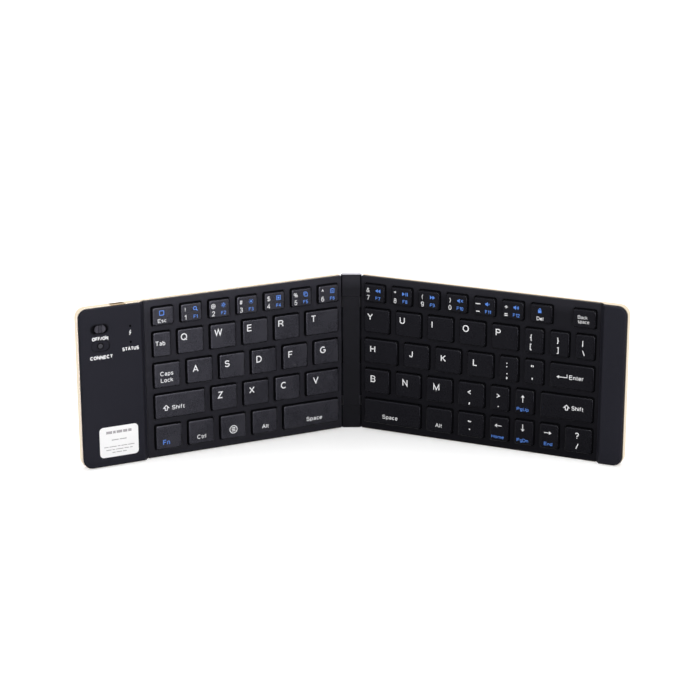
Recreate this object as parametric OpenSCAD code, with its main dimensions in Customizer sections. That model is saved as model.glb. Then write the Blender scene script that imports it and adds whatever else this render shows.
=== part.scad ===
// Folding keyboard, standing on its long front edge and opened like a book.
// The spine stands along +Z and the keys face -Y. A half is modelled flat: x runs outwards
// from its hinge axis, y runs up the keyboard and z runs from the axis towards the typist.

/* [Keyboard] */
// Overall thickness of one half at its raised end section
half_t = 7.4; // [7.2:0.1:8.4]
// Turn of each half from lying flat, in degrees
half_angle = 24.9; // [0:0.1:60]
// Radius of the outer corners
corner_r = 5.5; // [3:0.5:8]
// Corner radius beside the hinge
hinge_corner_r = 0.4; // [0.3:0.1:1]
// Radius of the rounded edge along the back of the case
back_edge_r = 1.6; // [0.6:0.1:1.8]

/* [Hinge spine] */
// Distance between the two hinge axes
pin_spacing = 9.4; // [9.2:0.1:10.4]
// Gap left between the end sections when the halves are closed
closed_gap = 0.3; // [0.2:0.05:0.6]
// Radius of a hinge pin
pin_r = 0.5; // [0.4:0.05:0.6]
// Radial running clearance of a pin in a hinge eye
pin_clear = 0.04; // [0.02:0.01:0.08]
// Wall of a hinge eye around its pin
eye_wall = 0.46; // [0.4:0.02:0.55]
// Length of a hinge eye
eye_len = 6; // [4:0.5:8]
// Clearance around a hinge eye
eye_gap = 0.2; // [0.15:0.05:0.3]
// Thickness of a hinge leaf
leaf_t = 0.5; // [0.4:0.05:0.6]
// How far a hinge leaf reaches into its half
leaf_reach = 13; // [10:0.5:16]
// Height of a hinge leaf along the spine, inside the case
leaf_h = 16; // [13:0.5:18]
// Thickness of the dark plates on the face of the spine
spine_plate_t = 0.6; // [0.5:0.05:0.8]
// Width of the spine's face
spine_w = 10; // [9.6:0.1:10]
// Depth of the spine from its face to its back
spine_depth = 4.7; // [4.2:0.1:5]
// Length of each end block of the spine
block_h = 12.7; // [10:0.1:15]
// Gap between the half's end and the spine's face when closed
face_gap = 0.2; // [0.15:0.05:0.4]
// How far the long cover stands in from the end plates, on each side
cover_in = 0.4; // [0:0.05:0.6]
// Width of the joint line between the plates of the spine
seam = 0.12; // [0.08:0.02:0.3]

/* [Case] */
// Thickness of the back wall of the metal case
floor_t = 0.8; // [0.6:0.05:1]
// Thickness of the side wall of the metal case
wall_t = 1.1; // [0.9:0.05:1.3]
// Height of the step from the key frame up to the end section
step_h = 2.6; // [2.3:0.1:2.8]
// Width of the slope on that step
step_run = 2.9; // [2.4:0.1:3.2]
// Length of the end section on the right half, from the key frame to the outer end
right_end_w = 15.2; // [14:0.01:18]
// Length of the ramp where the metal rim rises beside that slope
rim_run = 2; // [1.6:0.1:2.2]
// Thickness of the key frame
bezel_t = 1.2; // [1:0.05:1.4]
// How far the key frame stands in from the case along the long edges
bezel_inset = 0.3; // [0.1:0.05:0.5]
// Depth of the end cover's side wall
cover_depth = 1.8; // [1.6:0.1:2.1]
// Thickness of the end cover's face
cover_t = 1.2; // [1:0.05:1.3]
// Radius of the end cover's front edge
cover_edge_r = 0.8; // [0.4:0.1:1]
// Clearance between covers that meet
cover_gap = 0.1; // [0.05:0.05:0.2]
// How far the end cover stays in from the outer side of the case
cover_side_in = 0.5; // [0.2:0.05:0.7]
// How far the end cover stays in from the top and bottom of the case
cover_edge_in = 0.3; // [0.1:0.05:0.5]
// Width of the ledge that carries the key plate
ledge_w = 2; // [1.5:0.25:3]

/* [Keys] */
// Distance from the hinge axis to the first key
key_start = 4.4; // [4.2:0.1:5]
// Width of a letter key
letter_w = 15.2; // [14.6:0.1:15.4]
// Width of a number key
number_w = 12.3; // [11.5:0.1:12.6]
// Width of a narrow key
narrow_w = 10.67; // [10:0.01:11]
// Width of the wide letter keys next to the spine
wide_w = 20.1; // [19:0.1:21]
// Width of the backspace key
back_w = 12.6; // [11.5:0.1:13]
// Gap between keys
key_gap = 3.8; // [3.4:0.1:4]
// Height of a key
key_h = 14; // [13:0.1:14.4]
// Height of a key in the number row
number_h = 10.2; // [9.5:0.1:10.6]
// Distance between rows
row_pitch = 17.7; // [17:0.1:18]
// Distance from the front edge to the first row
row_start = 4.7; // [4.2:0.1:5]
// How far the keys stand above the key frame
key_rise = 1.9; // [1.6:0.1:2]
// How far a key travels when pressed
key_travel = 1.3; // [1:0.05:1.35]
// Clearance between a key and its opening
key_clear = 0.5; // [0.25:0.05:0.6]
// Radius of a key's corners
key_corner_r = 1.3; // [0.8:0.1:1.8]
// Inset of a key's top from its sides
key_taper = 0.35; // [0.2:0.05:0.5]
// Thickness of a key's top
key_top_t = 1.2; // [0.9:0.05:1.3]
// Thickness of a key's skirt
key_wall = 1; // [0.8:0.05:1.2]
// Margin from the last key to the left end cover
left_margin = 4.2; // [3.5:0.1:6]
// Margin from the last key to the right end cover
right_margin = 2.3; // [2:0.1:4]
// Margin from the last row to the back edge
top_margin = 4.3; // [4:0.1:6]

/* [Under the keys] */
// Thickness of the steel key plate
plate_t = 0.4; // [0.3:0.05:0.45]
// Thickness of the contact membrane
membrane_t = 0.25; // [0.15:0.05:0.3]
// Clearance around the key plate
plate_clear = 0.25; // [0.15:0.05:0.5]
// Radius of a rubber dome
dome_r = 2.2; // [1.8:0.1:2.4]
// Height of a rubber dome
dome_h = 1.5; // [1:0.1:1.7]
// Outer size of a scissor frame along and across
scissor_l = 8.2; // [7.8:0.1:8.4]
// Height of a scissor frame's bars
scissor_bar = 0.7; // [0.5:0.05:0.8]
// Radius of the pegs that fix the key frame to the key plate
peg_r = 0.8; // [0.6:0.05:1]
// Clearance around a peg
peg_clear = 0.15; // [0.1:0.05:0.3]

/* [Controls and inlet] */
// Distance from the outer end to the middle of the power switch
slider_in = 11.7; // [10.5:0.1:13]
// Distance from the back edge to the middle of the power switch
slider_down = 11.8; // [10.5:0.1:13]
// Length of the slot for the power switch
slot_l = 9.8; // [9:0.1:10.5]
// Height of the slot for the power switch
slot_h = 5; // [4.6:0.1:5.4]
// Length of the power switch's knob
knob_l = 7.4; // [6.6:0.1:8]
// Clearance between the knob and the long sides of its slot
knob_clear = 0.2; // [0.15:0.05:0.4]
// Travel of the power switch
slider_travel = 2; // [1:0.1:2]
// Length of the switch body behind it
switch_l = 9; // [8.6:0.1:9.4]
// Height of the switch body
switch_w = 3.6; // [3.4:0.1:4]
// Distance from the outer end to the middle of the connect button
button_in = 12.1; // [10.5:0.1:13]
// Distance from the back edge to the middle of the connect button
button_down = 21.3; // [21:0.1:23]
// Radius of the connect button
button_r = 1.7; // [1.4:0.1:2]
// Width of the push switch behind the button
push_w = 3.6; // [3:0.1:4]
// Clearance around the connect button
button_clear = 0.15; // [0.1:0.05:0.3]
// Travel of the connect button
button_travel = 0.4; // [0.2:0.05:0.4]
// Length of the shallow recess around the connect button
recess_l = 10.2; // [9:0.1:11]
// Height of the recess around the connect button
recess_h = 6; // [5.5:0.1:6.4]
// Depth of that recess
recess_depth = 0.45; // [0.3:0.05:0.6]
// Distance from the left key frame to the two indicator lights
light_in = 8.7; // [7.5:0.1:10]
// Distance from the back edge to the lower indicator light
light_low_down = 21.1; // [20:0.1:23]
// Distance from the back edge to the upper indicator light
light_high_down = 12.2; // [11:0.1:14]
// Radius of an indicator lens
light_r = 0.65; // [0.5:0.05:0.9]
// Distance from the outer end to the middle of the charging inlet
port_in = 23.1; // [20:0.1:25]
// Width of the charging inlet's metal shell
port_w = 7.5; // [7.4:0.1:7.8]
// Height of the charging inlet's metal shell
port_h = 2.45; // [2.3:0.05:2.5]
// Depth of the charging inlet
port_l = 5.6; // [5:0.1:6.5]
// Thickness of the inlet's metal shell
port_wall = 0.3; // [0.2:0.05:0.35]
// Clearance between the inlet and its opening in the case
port_clear = 0.25; // [0.15:0.05:0.4]
// Width of the blank label
label_w = 22; // [18:0.1:23]
// Height of the blank label
label_h = 17.2; // [15:0.2:18]
// Radius of the blank label's corners
label_r = 2.2; // [1:0.1:3]
// Thickness of the blank label
label_t = 0.1; // [0.06:0.02:0.2]
// Distance from the left key frame to the near side of the label
label_in = 6.3; // [6:0.1:8]
// Height of the label above the front edge
label_y = 5.6; // [5:0.1:8]

/* [Inside] */
// Clearance around the battery
battery_gap = 2.8; // [2:0.1:4]
// Thickness of the battery
battery_t = 3.2; // [2.6:0.1:3.4]
// Thickness of the main board
board_t = 0.8; // [0.6:0.1:1]
// Clearance between the main board and the walls beside it
board_clear = 1; // [0.8:0.1:1.5]
// Clearance between the main board and the back wall
board_edge = 0.6; // [0.5:0.1:1]
// Height of the main board along the end section
main_board_h = 27; // [26:0.5:28]
// Width of the main chip on the board
chip_w = 6; // [4:0.5:7]
// Distance from the main board's lower edge to the chip
chip_up = 9; // [8:0.5:12]
// Distance from the board's corners to its screws
board_screw_in = 2.2; // [2:0.1:3]
// Radius of a screw's thread
screw_r = 0.7; // [0.5:0.05:0.8]
// Radius of a screw's head
screw_head_r = 1.3; // [1.1:0.05:1.5]
// Height of a screw's head
screw_head_h = 0.35; // [0.3:0.05:0.4]
// Radius of a rubber foot
foot_r = 4; // [3:0.25:5]
// Thickness of a rubber foot
foot_t = 0.8; // [0.5:0.1:1.2]
// Distance of the feet from the ends and edges of a half
foot_in = 10; // [8:0.5:14]
// Width of the flat cable through the spine
cable_w = 12; // [8:0.5:14]
// Thickness of the flat cable
cable_t = 0.2; // [0.15:0.05:0.3]

/* [Hidden] */
$fn = 48;
eps = 0.01;
left = -1;
right = 1;

// Levels of a half, measured from the hinge axis towards the typist
hinge_x = pin_spacing / 2;
face_rise = hinge_x - closed_gap / 2;
back_z = face_rise - half_t;
bezel_z = face_rise - step_h;
bezel_under = bezel_z - bezel_t;
key_top_z = bezel_z + key_rise;
cover_under = face_rise - cover_t;
rim_z = face_rise - cover_depth;
floor_z = back_z + floor_t;
eye_r = pin_r + pin_clear + eye_wall;
plate_z = leaf_t - eye_r;
leaf_z = -eye_r;
membrane_z = plate_z + plate_t;
membrane_top = membrane_z + membrane_t;
skirt_z = membrane_top + key_travel + 0.15;

// Spine, in its own cross-section: the hinge axes lie at spine_axis_y
spine_face = eye_r + eye_gap + spine_plate_t;
spine_back = spine_depth - spine_face;
spine_wall_y = eye_r + eye_gap;
inner_end = spine_face + face_gap;
lobe_r = eye_r;
eye_low = block_h + seam + 0.1;
rib_z = eye_low + eye_len + eye_gap;
rib_t = 2;
pin_foot = 2.5;
guard_w = 2 * (hinge_x + 1.5);
cable_z = leaf_z + 0.05;

// Key fields and where the key frames end
left_field = 6 * letter_w + 5 * key_gap;
right_field = 5 * letter_w + 3 * narrow_w + 7 * key_gap;
number_gap = (left_field - 7 * number_w) / 6;
left_seam = key_start + left_field + left_margin;
right_seam = key_start + right_field + right_margin;

// Overall sizes of a half follow from its keys and margins
half_len = right_seam + right_end_w;
board_h = row_start + 4 * row_pitch + number_h + top_margin;

// Place of the hinge axes, so that the origin is under the middle of the whole
front_reach = (half_len - cover_edge_r) * sin(half_angle)
            + (face_rise - cover_edge_r) * cos(half_angle) + cover_edge_r;
hinge_y = (front_reach - spine_back) / 2;

// Widths of the keys that fill up their rows
tab_w = left_field - wide_w - 4 * letter_w - 5 * key_gap;
left_shift_w = left_field - wide_w - 3 * letter_w - 4 * key_gap;
left_space_w = left_field - 4 * letter_w - 4 * key_gap;
enter_w = right_field - wide_w - 3 * letter_w - 2 * narrow_w - 6 * key_gap;
right_shift_w = right_field - 4 * letter_w - 2 * narrow_w - 6 * key_gap;
right_space_w = right_field - 3 * letter_w - 3 * narrow_w - 6 * key_gap;

// Rows count from the front edge up. Key widths run outwards from the spine
function row_y(row) = row_start + row * row_pitch;
function row_h(row) = row == 4 ? number_h : key_h;
function row_gap(row) = row == 4 ? number_gap : key_gap;
left_rows = [
    [left_space_w, letter_w, letter_w, letter_w, letter_w],
    [wide_w, letter_w, letter_w, letter_w, left_shift_w],
    [letter_w, letter_w, letter_w, letter_w, letter_w, letter_w],
    [wide_w, letter_w, letter_w, letter_w, letter_w, tab_w],
    [for (i = [0:6]) number_w]
];
right_rows = [
    [right_space_w, letter_w, letter_w, narrow_w, narrow_w, narrow_w, letter_w],
    [letter_w, letter_w, letter_w, letter_w, narrow_w, narrow_w, right_shift_w],
    [wide_w, letter_w, letter_w, letter_w, narrow_w, narrow_w, enter_w],
    [letter_w, letter_w, letter_w, letter_w, letter_w, narrow_w, narrow_w, narrow_w],
    [for (i = [0:6]) number_w, back_w]
];
function rows_of(side) = side == left ? left_rows : right_rows;
function field_of(side) = side == left ? left_field : right_field;
function seam_of(side) = side == left ? left_seam : right_seam;
function before(widths, i, gap) = i == 0 ? 0 : before(widths, i - 1, gap) + widths[i - 1] + gap;

// The backspace key ends flush with the field, and every other key follows its neighbour
function key_x(side, row, i) = side == right && row == 4 && i == 7
    ? key_start + right_field - back_w
    : key_start + before(rows_of(side)[row], i, row_gap(row));
function key_w(side, row, i) = rows_of(side)[row][i];

// Hinge leaves and ribs
leaf_screw_x = inner_end + leaf_reach - 4;
leaf_screws_y = [eye_low - 1, eye_low + leaf_h - 7];
rib_rows = [for (row = [1:4]) row_y(row) - key_gap / 2];
riser_x = inner_end + wall_t + 1;
peg_rows = [1, 3];

// Main board, battery and controls in the left end section
cover_wall = step_run - 0.4;
bay_x = left_seam + cover_gap + cover_wall;
main_board_z = bezel_under;
part_z = main_board_z + board_t;
board_x = bay_x + board_clear;
board_w = half_len - wall_t - board_clear - board_x;
board_y = board_h - wall_t - board_edge - main_board_h;
board_screws = [for (x = [board_x + board_screw_in, board_x + board_w - board_screw_in - 2])
    [x, board_y + board_screw_in]];
battery_x = bay_x + battery_gap;
battery_y = wall_t + battery_gap + 1;
battery_w = half_len - wall_t - battery_gap - battery_x;
battery_h = board_y - battery_gap - battery_y;
port_x = half_len - port_in;
port_z = main_board_z - port_h / 2;
slider_x = half_len - slider_in;
slider_y = board_h - slider_down;
button_x = half_len - button_in;
button_y = board_h - button_down;
light_x = left_seam + light_in;
light_rows = [board_h - light_low_down, board_h - light_high_down];
label_x = left_seam + label_in;
knob_flange_z = cover_under - 0.7;
button_flange_z = cover_under - 0.55;

// Colours
gold = [0.93, 0.79, 0.57];
black = [0.09, 0.09, 0.11];
key_colour = [0.17, 0.17, 0.19];
silver = [0.72, 0.72, 0.75];
steel = [0.6, 0.6, 0.62];
rubber = [0.15, 0.15, 0.15];

// Places a half's flat shapes on its hinge axis, turned to the standing pose
module on_right() {
    translate([hinge_x, hinge_y, 0]) rotate([0, 0, -half_angle]) rotate([90, 0, 0]) children();
}
module on_left() {
    mirror([1, 0, 0]) on_right() children();
}
module on_side(side) {
    if (side == left) on_left() children();
    if (side == right) on_right() children();
}

// Draws its children at both ends of the spine, mirrored about mid height
module both_ends() {
    children();
    translate([0, 0, board_h]) mirror([0, 0, 1]) children();
}
module both_edges() {
    children();
    translate([0, board_h, 0]) mirror([0, 1, 0]) children();
}

// A rectangle with corners of radius a at its low end and b at its high end
module round_rect(x0, y0, x1, y1, a, b) {
    translate([x0 + a, y0]) square([x1 - x0 - a - b, y1 - y0]);
    translate([x0, y0 + a]) square([a + 0.2, y1 - y0 - 2 * a]);
    translate([x1 - b - 0.2, y0 + b]) square([b + 0.2, y1 - y0 - 2 * b]);
    for (y = [y0 + a, y1 - a]) translate([x0 + a, y]) circle(r = a);
    for (y = [y0 + b, y1 - b]) translate([x1 - b, y]) circle(r = b);
}
module pill(l, h) {
    square([l - h, h], center = true);
    for (x = [-1, 1]) translate([x * (l - h) / 2, 0]) circle(d = h);
}
module slab(z0, z1) {
    translate([0, 0, z0]) linear_extrude(z1 - z0) children();
}

// Cross-section of an end block: a bar with a round lobe on each hinge axis
module block_section() {
    corner = 1.2;
    back_y = hinge_y + spine_back;
    front_y = hinge_y - spine_wall_y;
    translate([-spine_w / 2, front_y]) square([spine_w, spine_depth - spine_plate_t - corner]);
    translate([-spine_w / 2 + corner, front_y])
        square([spine_w - 2 * corner, spine_depth - spine_plate_t]);
    for (s = [-1, 1]) {
        translate([s * (spine_w / 2 - corner), back_y - corner]) circle(r = corner);
        translate([s * hinge_x, hinge_y]) circle(r = lobe_r);
    }
}
module pin_bores(z0, z1) {
    for (s = [-1, 1]) translate([s * hinge_x, hinge_y, z0])
        cylinder(r = pin_r + pin_clear / 2, h = z1 - z0);
}
module hinge_block() {
    color(silver) difference() {
        linear_extrude(block_h) block_section();
        pin_bores(pin_foot - 0.3, block_h + 1);
    }
}
module hinge_block_bottom() { hinge_block(); }
module hinge_block_top() { translate([0, 0, board_h]) mirror([0, 0, 1]) hinge_block(); }

module face_plate(w, z0, z1) {
    translate([-w / 2, hinge_y - spine_face, z0]) cube([w, spine_plate_t, z1 - z0]);
}
module spine_cover() {
    color(black)
        face_plate(spine_w - 2 * cover_in, block_h + seam / 2, board_h - block_h - seam / 2);
}
module spine_end_plates() {
    color(black) both_ends() face_plate(spine_w, 0, block_h - seam / 2);
}

// Back wall of the spine and the two solid lengths that carry the pins. Between them lies a
// window for the flat cable, with a wider guard behind it
module spine_frame() {
    window_z = (board_h - cable_w) / 2 - 1;
    color(silver) difference() {
        union() {
            intersection() {
                slab(block_h, board_h - block_h) block_section();
                translate([-spine_w, hinge_y + spine_wall_y, block_h])
                    cube([2 * spine_w, spine_depth, board_h - 2 * block_h]);
            }
            both_ends() slab(rib_z, window_z) block_section();
            translate([-guard_w / 2, hinge_y + spine_wall_y, window_z - 1])
                cube([guard_w, 1.2, cable_w + 4]);
        }
        both_ends() pin_bores(rib_z - 1, rib_z + rib_t + 0.3);
    }
}
module hinge_pins() {
    color(steel) both_ends() for (s = [-1, 1]) translate([s * hinge_x, hinge_y, pin_foot])
        cylinder(r = pin_r, h = rib_z + rib_t - pin_foot);
}
module flex_cable() {
    reach = hinge_x - 0.3;
    color([0.1, 0.1, 0.1]) translate([-reach, hinge_y - cable_z - cable_t, (board_h - cable_w) / 2])
        cube([2 * reach, cable_t, cable_w]);
}

// Two stamped leaves on each half, with an eye around each hinge pin
module hinge_leaves(side) {
    color(steel) on_side(side) both_edges() difference() {
        union() {
            translate([0, eye_low, 0]) rotate([-90, 0, 0]) cylinder(r = eye_r, h = eye_len);
            slab(leaf_z, leaf_z + leaf_t) translate([0, eye_low]) square([inner_end + 3, eye_len]);
            slab(leaf_z, leaf_z + leaf_t) translate([inner_end + wall_t + 0.3, eye_low - 4])
                square([leaf_reach - inner_end - wall_t, leaf_h]);
        }
        translate([0, eye_low - 1, 0]) rotate([-90, 0, 0])
            cylinder(r = pin_r + pin_clear, h = eye_len + 2);
        for (y = leaf_screws_y) translate([leaf_screw_x, y, leaf_z - 1])
            cylinder(r = screw_r + 0.1, h = leaf_t + 2);
    }
}
// Metal case of one half, open towards the typist
module case_blank(side) {
    seam_x = seam_of(side);
    union() {
        hull() {
            for (a = [0:22.5:90]) {
                inset = back_edge_r * (1 - sin(a));
                slab(back_z + back_edge_r * (1 - cos(a)), back_z + back_edge_r * (1 - cos(a)) + eps)
                    round_rect(inner_end + inset * 0.5, inset, half_len - inset, board_h - inset,
                               hinge_corner_r, corner_r - inset, $fn = 32);
            }
            slab(bezel_under - eps, bezel_under)
                round_rect(inner_end, 0, half_len, board_h, hinge_corner_r, corner_r, $fn = 32);
        }
        intersection() {
            slab(bezel_under - 2 * eps, rim_z)
                round_rect(seam_x + cover_gap, 0, half_len, board_h, 0.5, corner_r, $fn = 32);
            side_profile(rim_profile(seam_x + cover_gap, bezel_under - 1));
        }
    }
}
// Extrudes a shape of the half's side view over its whole height
module side_profile(points) {
    translate([0, board_h + 1, 0]) rotate([90, 0, 0]) linear_extrude(board_h + 2)
        polygon(points);
}
// The metal rim climbs a ramp beside the slope of the end cover
function rim_profile(x0, under) = [
    [x0 - 1, under], [x0 - 1, bezel_under], [x0, bezel_under], [x0 + rim_run, rim_z],
    [half_len + 1, rim_z], [half_len + 1, under]
];
module back_shell(side) {
    seam_x = seam_of(side);
    ledge = wall_t + ledge_w;
    color(gold) on_side(side) difference() {
        union() {
            difference() {
                case_blank(side);
                slab(floor_z, plate_z) round_rect(inner_end + ledge, ledge, seam_x - 1,
                                                  board_h - ledge, 1, 1);
                slab(plate_z, rim_z + 1) round_rect(inner_end + wall_t, wall_t, seam_x + 3,
                                                    board_h - wall_t, 0.5, 0.5);
                slab(floor_z, rim_z + 1) round_rect(seam_x + wall_t, wall_t, half_len - wall_t,
                                                    board_h - wall_t, 0.5, corner_r - wall_t);
            }
            for (y = rib_rows) slab(floor_z - 0.2, plate_z) translate([inner_end + ledge - 0.5, y])
                square([seam_x - inner_end - ledge, 1.2]);
            both_edges() for (y = leaf_screws_y) translate([leaf_screw_x, y, floor_z - 0.2])
                cylinder(r = 2, h = leaf_z - floor_z + 0.2);
            if (side == left) for (p = board_screws) translate([p[0], p[1], floor_z - 0.2])
                cylinder(r = 1.8, h = main_board_z - floor_z + 0.2);
        }
        both_edges() slab(leaf_z - 0.15, plate_z + eps)
            translate([0, eye_low - 0.2]) square([inner_end + ledge + 1, eye_len + 0.4]);
        both_edges() slab(leaf_z, plate_z + eps) translate([inner_end + wall_t, eye_low - 4.2])
            square([leaf_reach - wall_t + 0.5, leaf_h + 0.4]);
        both_edges() for (y = leaf_screws_y) translate([leaf_screw_x, y, floor_z + 0.05])
            cylinder(r = screw_r + 0.02, h = 4);
        slab(cable_z - 0.15, plate_z + eps) translate([0, (board_h - cable_w) / 2 - 0.3])
            square([inner_end + ledge + 1, cable_w + 0.6]);
        if (side == left) {
            for (p = board_screws) translate([p[0], p[1], floor_z + 0.1])
                cylinder(r = screw_r + 0.02, h = 6);
            translate([port_x, board_h - wall_t / 2, port_z]) rotate([90, 0, 0])
                linear_extrude(wall_t + 1, center = true)
                    pill_box(port_w + 2 * port_clear, port_h + 2 * port_clear, 0.8);
        }
    }
}

// Main board, held on two bosses, with the inlet hung under it
module pill_box(w, h, r) {
    square([w - 2 * r, h], center = true);
    square([w, h - 2 * r], center = true);
    for (x = [-1, 1], y = [-1, 1]) translate([x * (w / 2 - r), y * (h / 2 - r)]) circle(r = r);
}
module main_board() {
    color([0.05, 0.3, 0.16]) on_left() difference() {
        slab(main_board_z, main_board_z + board_t)
            round_rect(board_x, board_y, board_x + board_w, board_y + main_board_h, 1, 4);
        for (p = board_screws) translate([p[0], p[1], main_board_z - 1])
            cylinder(r = screw_r + 0.1, h = 4);
    }
    // Chips, the two lights and the connect button's switch, all soldered to the board
    color([0.1, 0.1, 0.1]) on_left() {
        translate([light_x + 3, board_y + chip_up, part_z]) cube([chip_w, chip_w, 0.9]);
        for (y = light_rows) translate([light_x - 0.8, y - 0.5, part_z]) cube([1.6, 1, 0.5]);
        translate([button_x - push_w / 2, button_y - push_w / 2, part_z])
            cube([push_w, push_w, button_flange_z - button_travel - 0.1 - part_z]);
    }
}
module charge_port() {
    color(silver) on_left() translate([port_x, board_h - 0.2, port_z]) rotate([90, 0, 0]) {
        difference() {
            linear_extrude(port_l) pill_box(port_w, port_h, 0.6);
            translate([0, 0, -1]) linear_extrude(port_l + 0.6)
                pill_box(port_w - 2 * port_wall, port_h - 2 * port_wall, 0.4);
        }
        translate([-1.9, -0.35, 0.8]) cube([3.8, 0.6, port_l - 0.8 - 0.2]);
    }
}
module battery() {
    color([0.55, 0.57, 0.6]) on_left() slab(floor_z, floor_z + battery_t)
        round_rect(battery_x, battery_y, battery_x + battery_w, battery_y + battery_h, 1.5, 1.5);
}

// Slide switch: its body on the board, and the knob that shows in the end cover
module power_switch() {
    slot_w = slider_travel + 2.4;
    color(steel) on_left() difference() {
        translate([slider_x - switch_l / 2, slider_y - switch_w / 2, part_z])
            cube([switch_l, switch_w, knob_flange_z - 0.15 - part_z]);
        translate([slider_x - slot_w / 2, slider_y - 0.6, part_z + 0.4]) cube([slot_w, 1.2, 3]);
    }
}
module power_slider() {
    knob_h = slot_h - 2 * knob_clear;
    flange_l = slot_l + 1.4;
    color(rubber) on_left() translate([slider_x - slider_travel / 2, slider_y, 0]) {
        slab(knob_flange_z, cover_under - 0.1) pill(flange_l, slot_h + 0.8);
        slab(cover_under - 0.2, face_rise + 0.25) pill(knob_l, knob_h);
        for (i = [-1:1]) translate([i * 1.1 - 0.2, -knob_h / 2 + 0.6, face_rise + 0.2])
            cube([0.4, knob_h - 1.2, 0.25]);
        slab(part_z + 0.6, knob_flange_z + eps) square([1.6, 0.8], center = true);
    }
}
module connect_button() {
    color(rubber) on_left() translate([button_x, button_y, 0]) {
        translate([0, 0, button_flange_z]) cylinder(r = button_r + 0.6, h = 0.45);
        translate([0, 0, button_flange_z])
            cylinder(r = button_r, h = face_rise - recess_depth + 0.25 - button_flange_z);
    }
}
module indicator_lenses() {
    color([0.85, 0.9, 1]) on_left() for (y = light_rows) translate([light_x, y, part_z + 0.7])
        cylinder(r = light_r, h = face_rise - 0.1 - (part_z + 0.7));
}
module blank_label() {
    color([0.97, 0.97, 0.97]) on_left() slab(face_rise, face_rise + label_t)
        round_rect(label_x, label_y, label_x + label_w, label_y + label_h, label_r, label_r);
}

// End cover: a shallow lid with a soft front edge and a slope down to the key frame
module cover_blank(side) {
    x0 = seam_of(side) + cover_gap;
    x1 = half_len - cover_side_in;
    y0 = cover_edge_in;
    y1 = board_h - cover_edge_in;
    r = corner_r - cover_side_in;
    intersection() {
        hull() {
            slab(bezel_under, face_rise - cover_edge_r) round_rect(x0, y0, x1, y1, 0.5, r, $fn = 32);
            for (a = [30:30:90]) {
                inset = cover_edge_r * (1 - cos(a));
                slab(face_rise - cover_edge_r * (1 - sin(a)) - eps,
                     face_rise - cover_edge_r * (1 - sin(a)))
                    round_rect(x0, y0 + inset, x1 - inset, y1 - inset, 0.5, r - inset, $fn = 32);
            }
        }
        side_profile(step_profile(x0));
    }
}
// The slope starts level with the key frame and swings up to the face in one smooth curve
function step_profile(x0) = [
    [x0, bezel_under],
    for (a = [0:15:180]) [x0 + step_run * a / 180, bezel_z + step_h * (1 - cos(a)) / 2],
    [half_len + 1, face_rise], [half_len + 1, bezel_under]
];
module end_cover(side) {
    x0 = seam_of(side) + cover_gap;
    inner_y = wall_t + cover_edge_in;
    color(black) on_side(side) difference() {
        cover_blank(side);
        slab(bezel_under - 1, cover_under)
            round_rect(x0 + cover_wall, inner_y, half_len - cover_side_in - wall_t, board_h - inner_y,
                       0.5, corner_r - cover_side_in - wall_t);
        difference() {
            side_profile(rim_profile(x0, bezel_under - 1));
            slab(bezel_under - 2, rim_z + 1) translate([x0 - 1, wall_t + 0.15])
                square([cover_wall + 1, board_h - 2 * wall_t - 0.3]);
        }
        if (side == left) {
            translate([slider_x, slider_y, 0]) slab(0, face_rise + 1) pill(slot_l, slot_h);
            translate([button_x, button_y, 0])
                slab(face_rise - recess_depth, face_rise + 1) pill(recess_l, recess_h);
            translate([button_x, button_y, 0])
                cylinder(r = button_r + button_clear, h = face_rise + 1);
            for (y = light_rows) translate([light_x, y, 0])
                cylinder(r = light_r + 0.05, h = face_rise + 1);
        }
    }
}

// Key frame with an opening for every key
module key_openings(side) {
    for (row = [0:4], i = [0:len(rows_of(side)[row]) - 1]) {
        x = key_x(side, row, i) - key_clear;
        y = row_y(row) - key_clear;
        slab(bezel_under - 1, bezel_z + 1)
            round_rect(x, y, x + key_w(side, row, i) + 2 * key_clear,
                       y + row_h(row) + 2 * key_clear, key_corner_r, key_corner_r);
    }
}
function peg_xs(side) = [for (k = [0.12, 0.5, 0.88]) key_start + k * field_of(side)];
module pegs(side, r, z0, z1) {
    for (row = peg_rows, x = peg_xs(side))
        translate([x, row_y(row) - (row_pitch - key_h) / 2, z0])
            cylinder(r = r, h = z1 - z0);
}
module bezel(side) {
    color(black) on_side(side) {
        difference() {
            slab(bezel_under, bezel_z) round_rect(inner_end, bezel_inset, seam_of(side) - cover_gap,
                                                  board_h - bezel_inset, hinge_corner_r, 0.3);
            key_openings(side);
        }
        pegs(side, peg_r, plate_z + 0.1, bezel_under + eps);
    }
}

// Steel plate, contact membrane and the springy supports below the keys
module sheet_outline(side) {
    edge = wall_t + plate_clear;
    round_rect(inner_end + edge, edge, seam_of(side) - 1.2, board_h - edge, 0.5, 0.5);
}
module key_plate(side) {
    color(steel) on_side(side) difference() {
        slab(plate_z, plate_z + plate_t) sheet_outline(side);
        pegs(side, peg_r + peg_clear, plate_z - 1, plate_z + 2);
        both_edges() for (y = leaf_screws_y) translate([leaf_screw_x, y, plate_z - 1])
            cylinder(r = screw_head_r + 0.15, h = 3);
        slab(plate_z - 1, plate_z + 2) translate([0, (board_h - cable_w) / 2 - 0.3])
            square([riser_x + cable_t + 0.3, cable_w + 0.6]);
    }
}
module membrane(side) {
    color([0.8, 0.82, 0.75]) on_side(side) {
        difference() {
            slab(membrane_z, membrane_top) sheet_outline(side);
            pegs(side, peg_r + peg_clear, membrane_z - 1, membrane_top + 1);
        }
        slab(cable_z, cable_z + cable_t) translate([0.3, (board_h - cable_w) / 2])
            square([riser_x + cable_t - 0.3, cable_w]);
        slab(cable_z, membrane_top) translate([riser_x, (board_h - cable_w) / 2])
            square([cable_t, cable_w]);
    }
}
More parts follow.
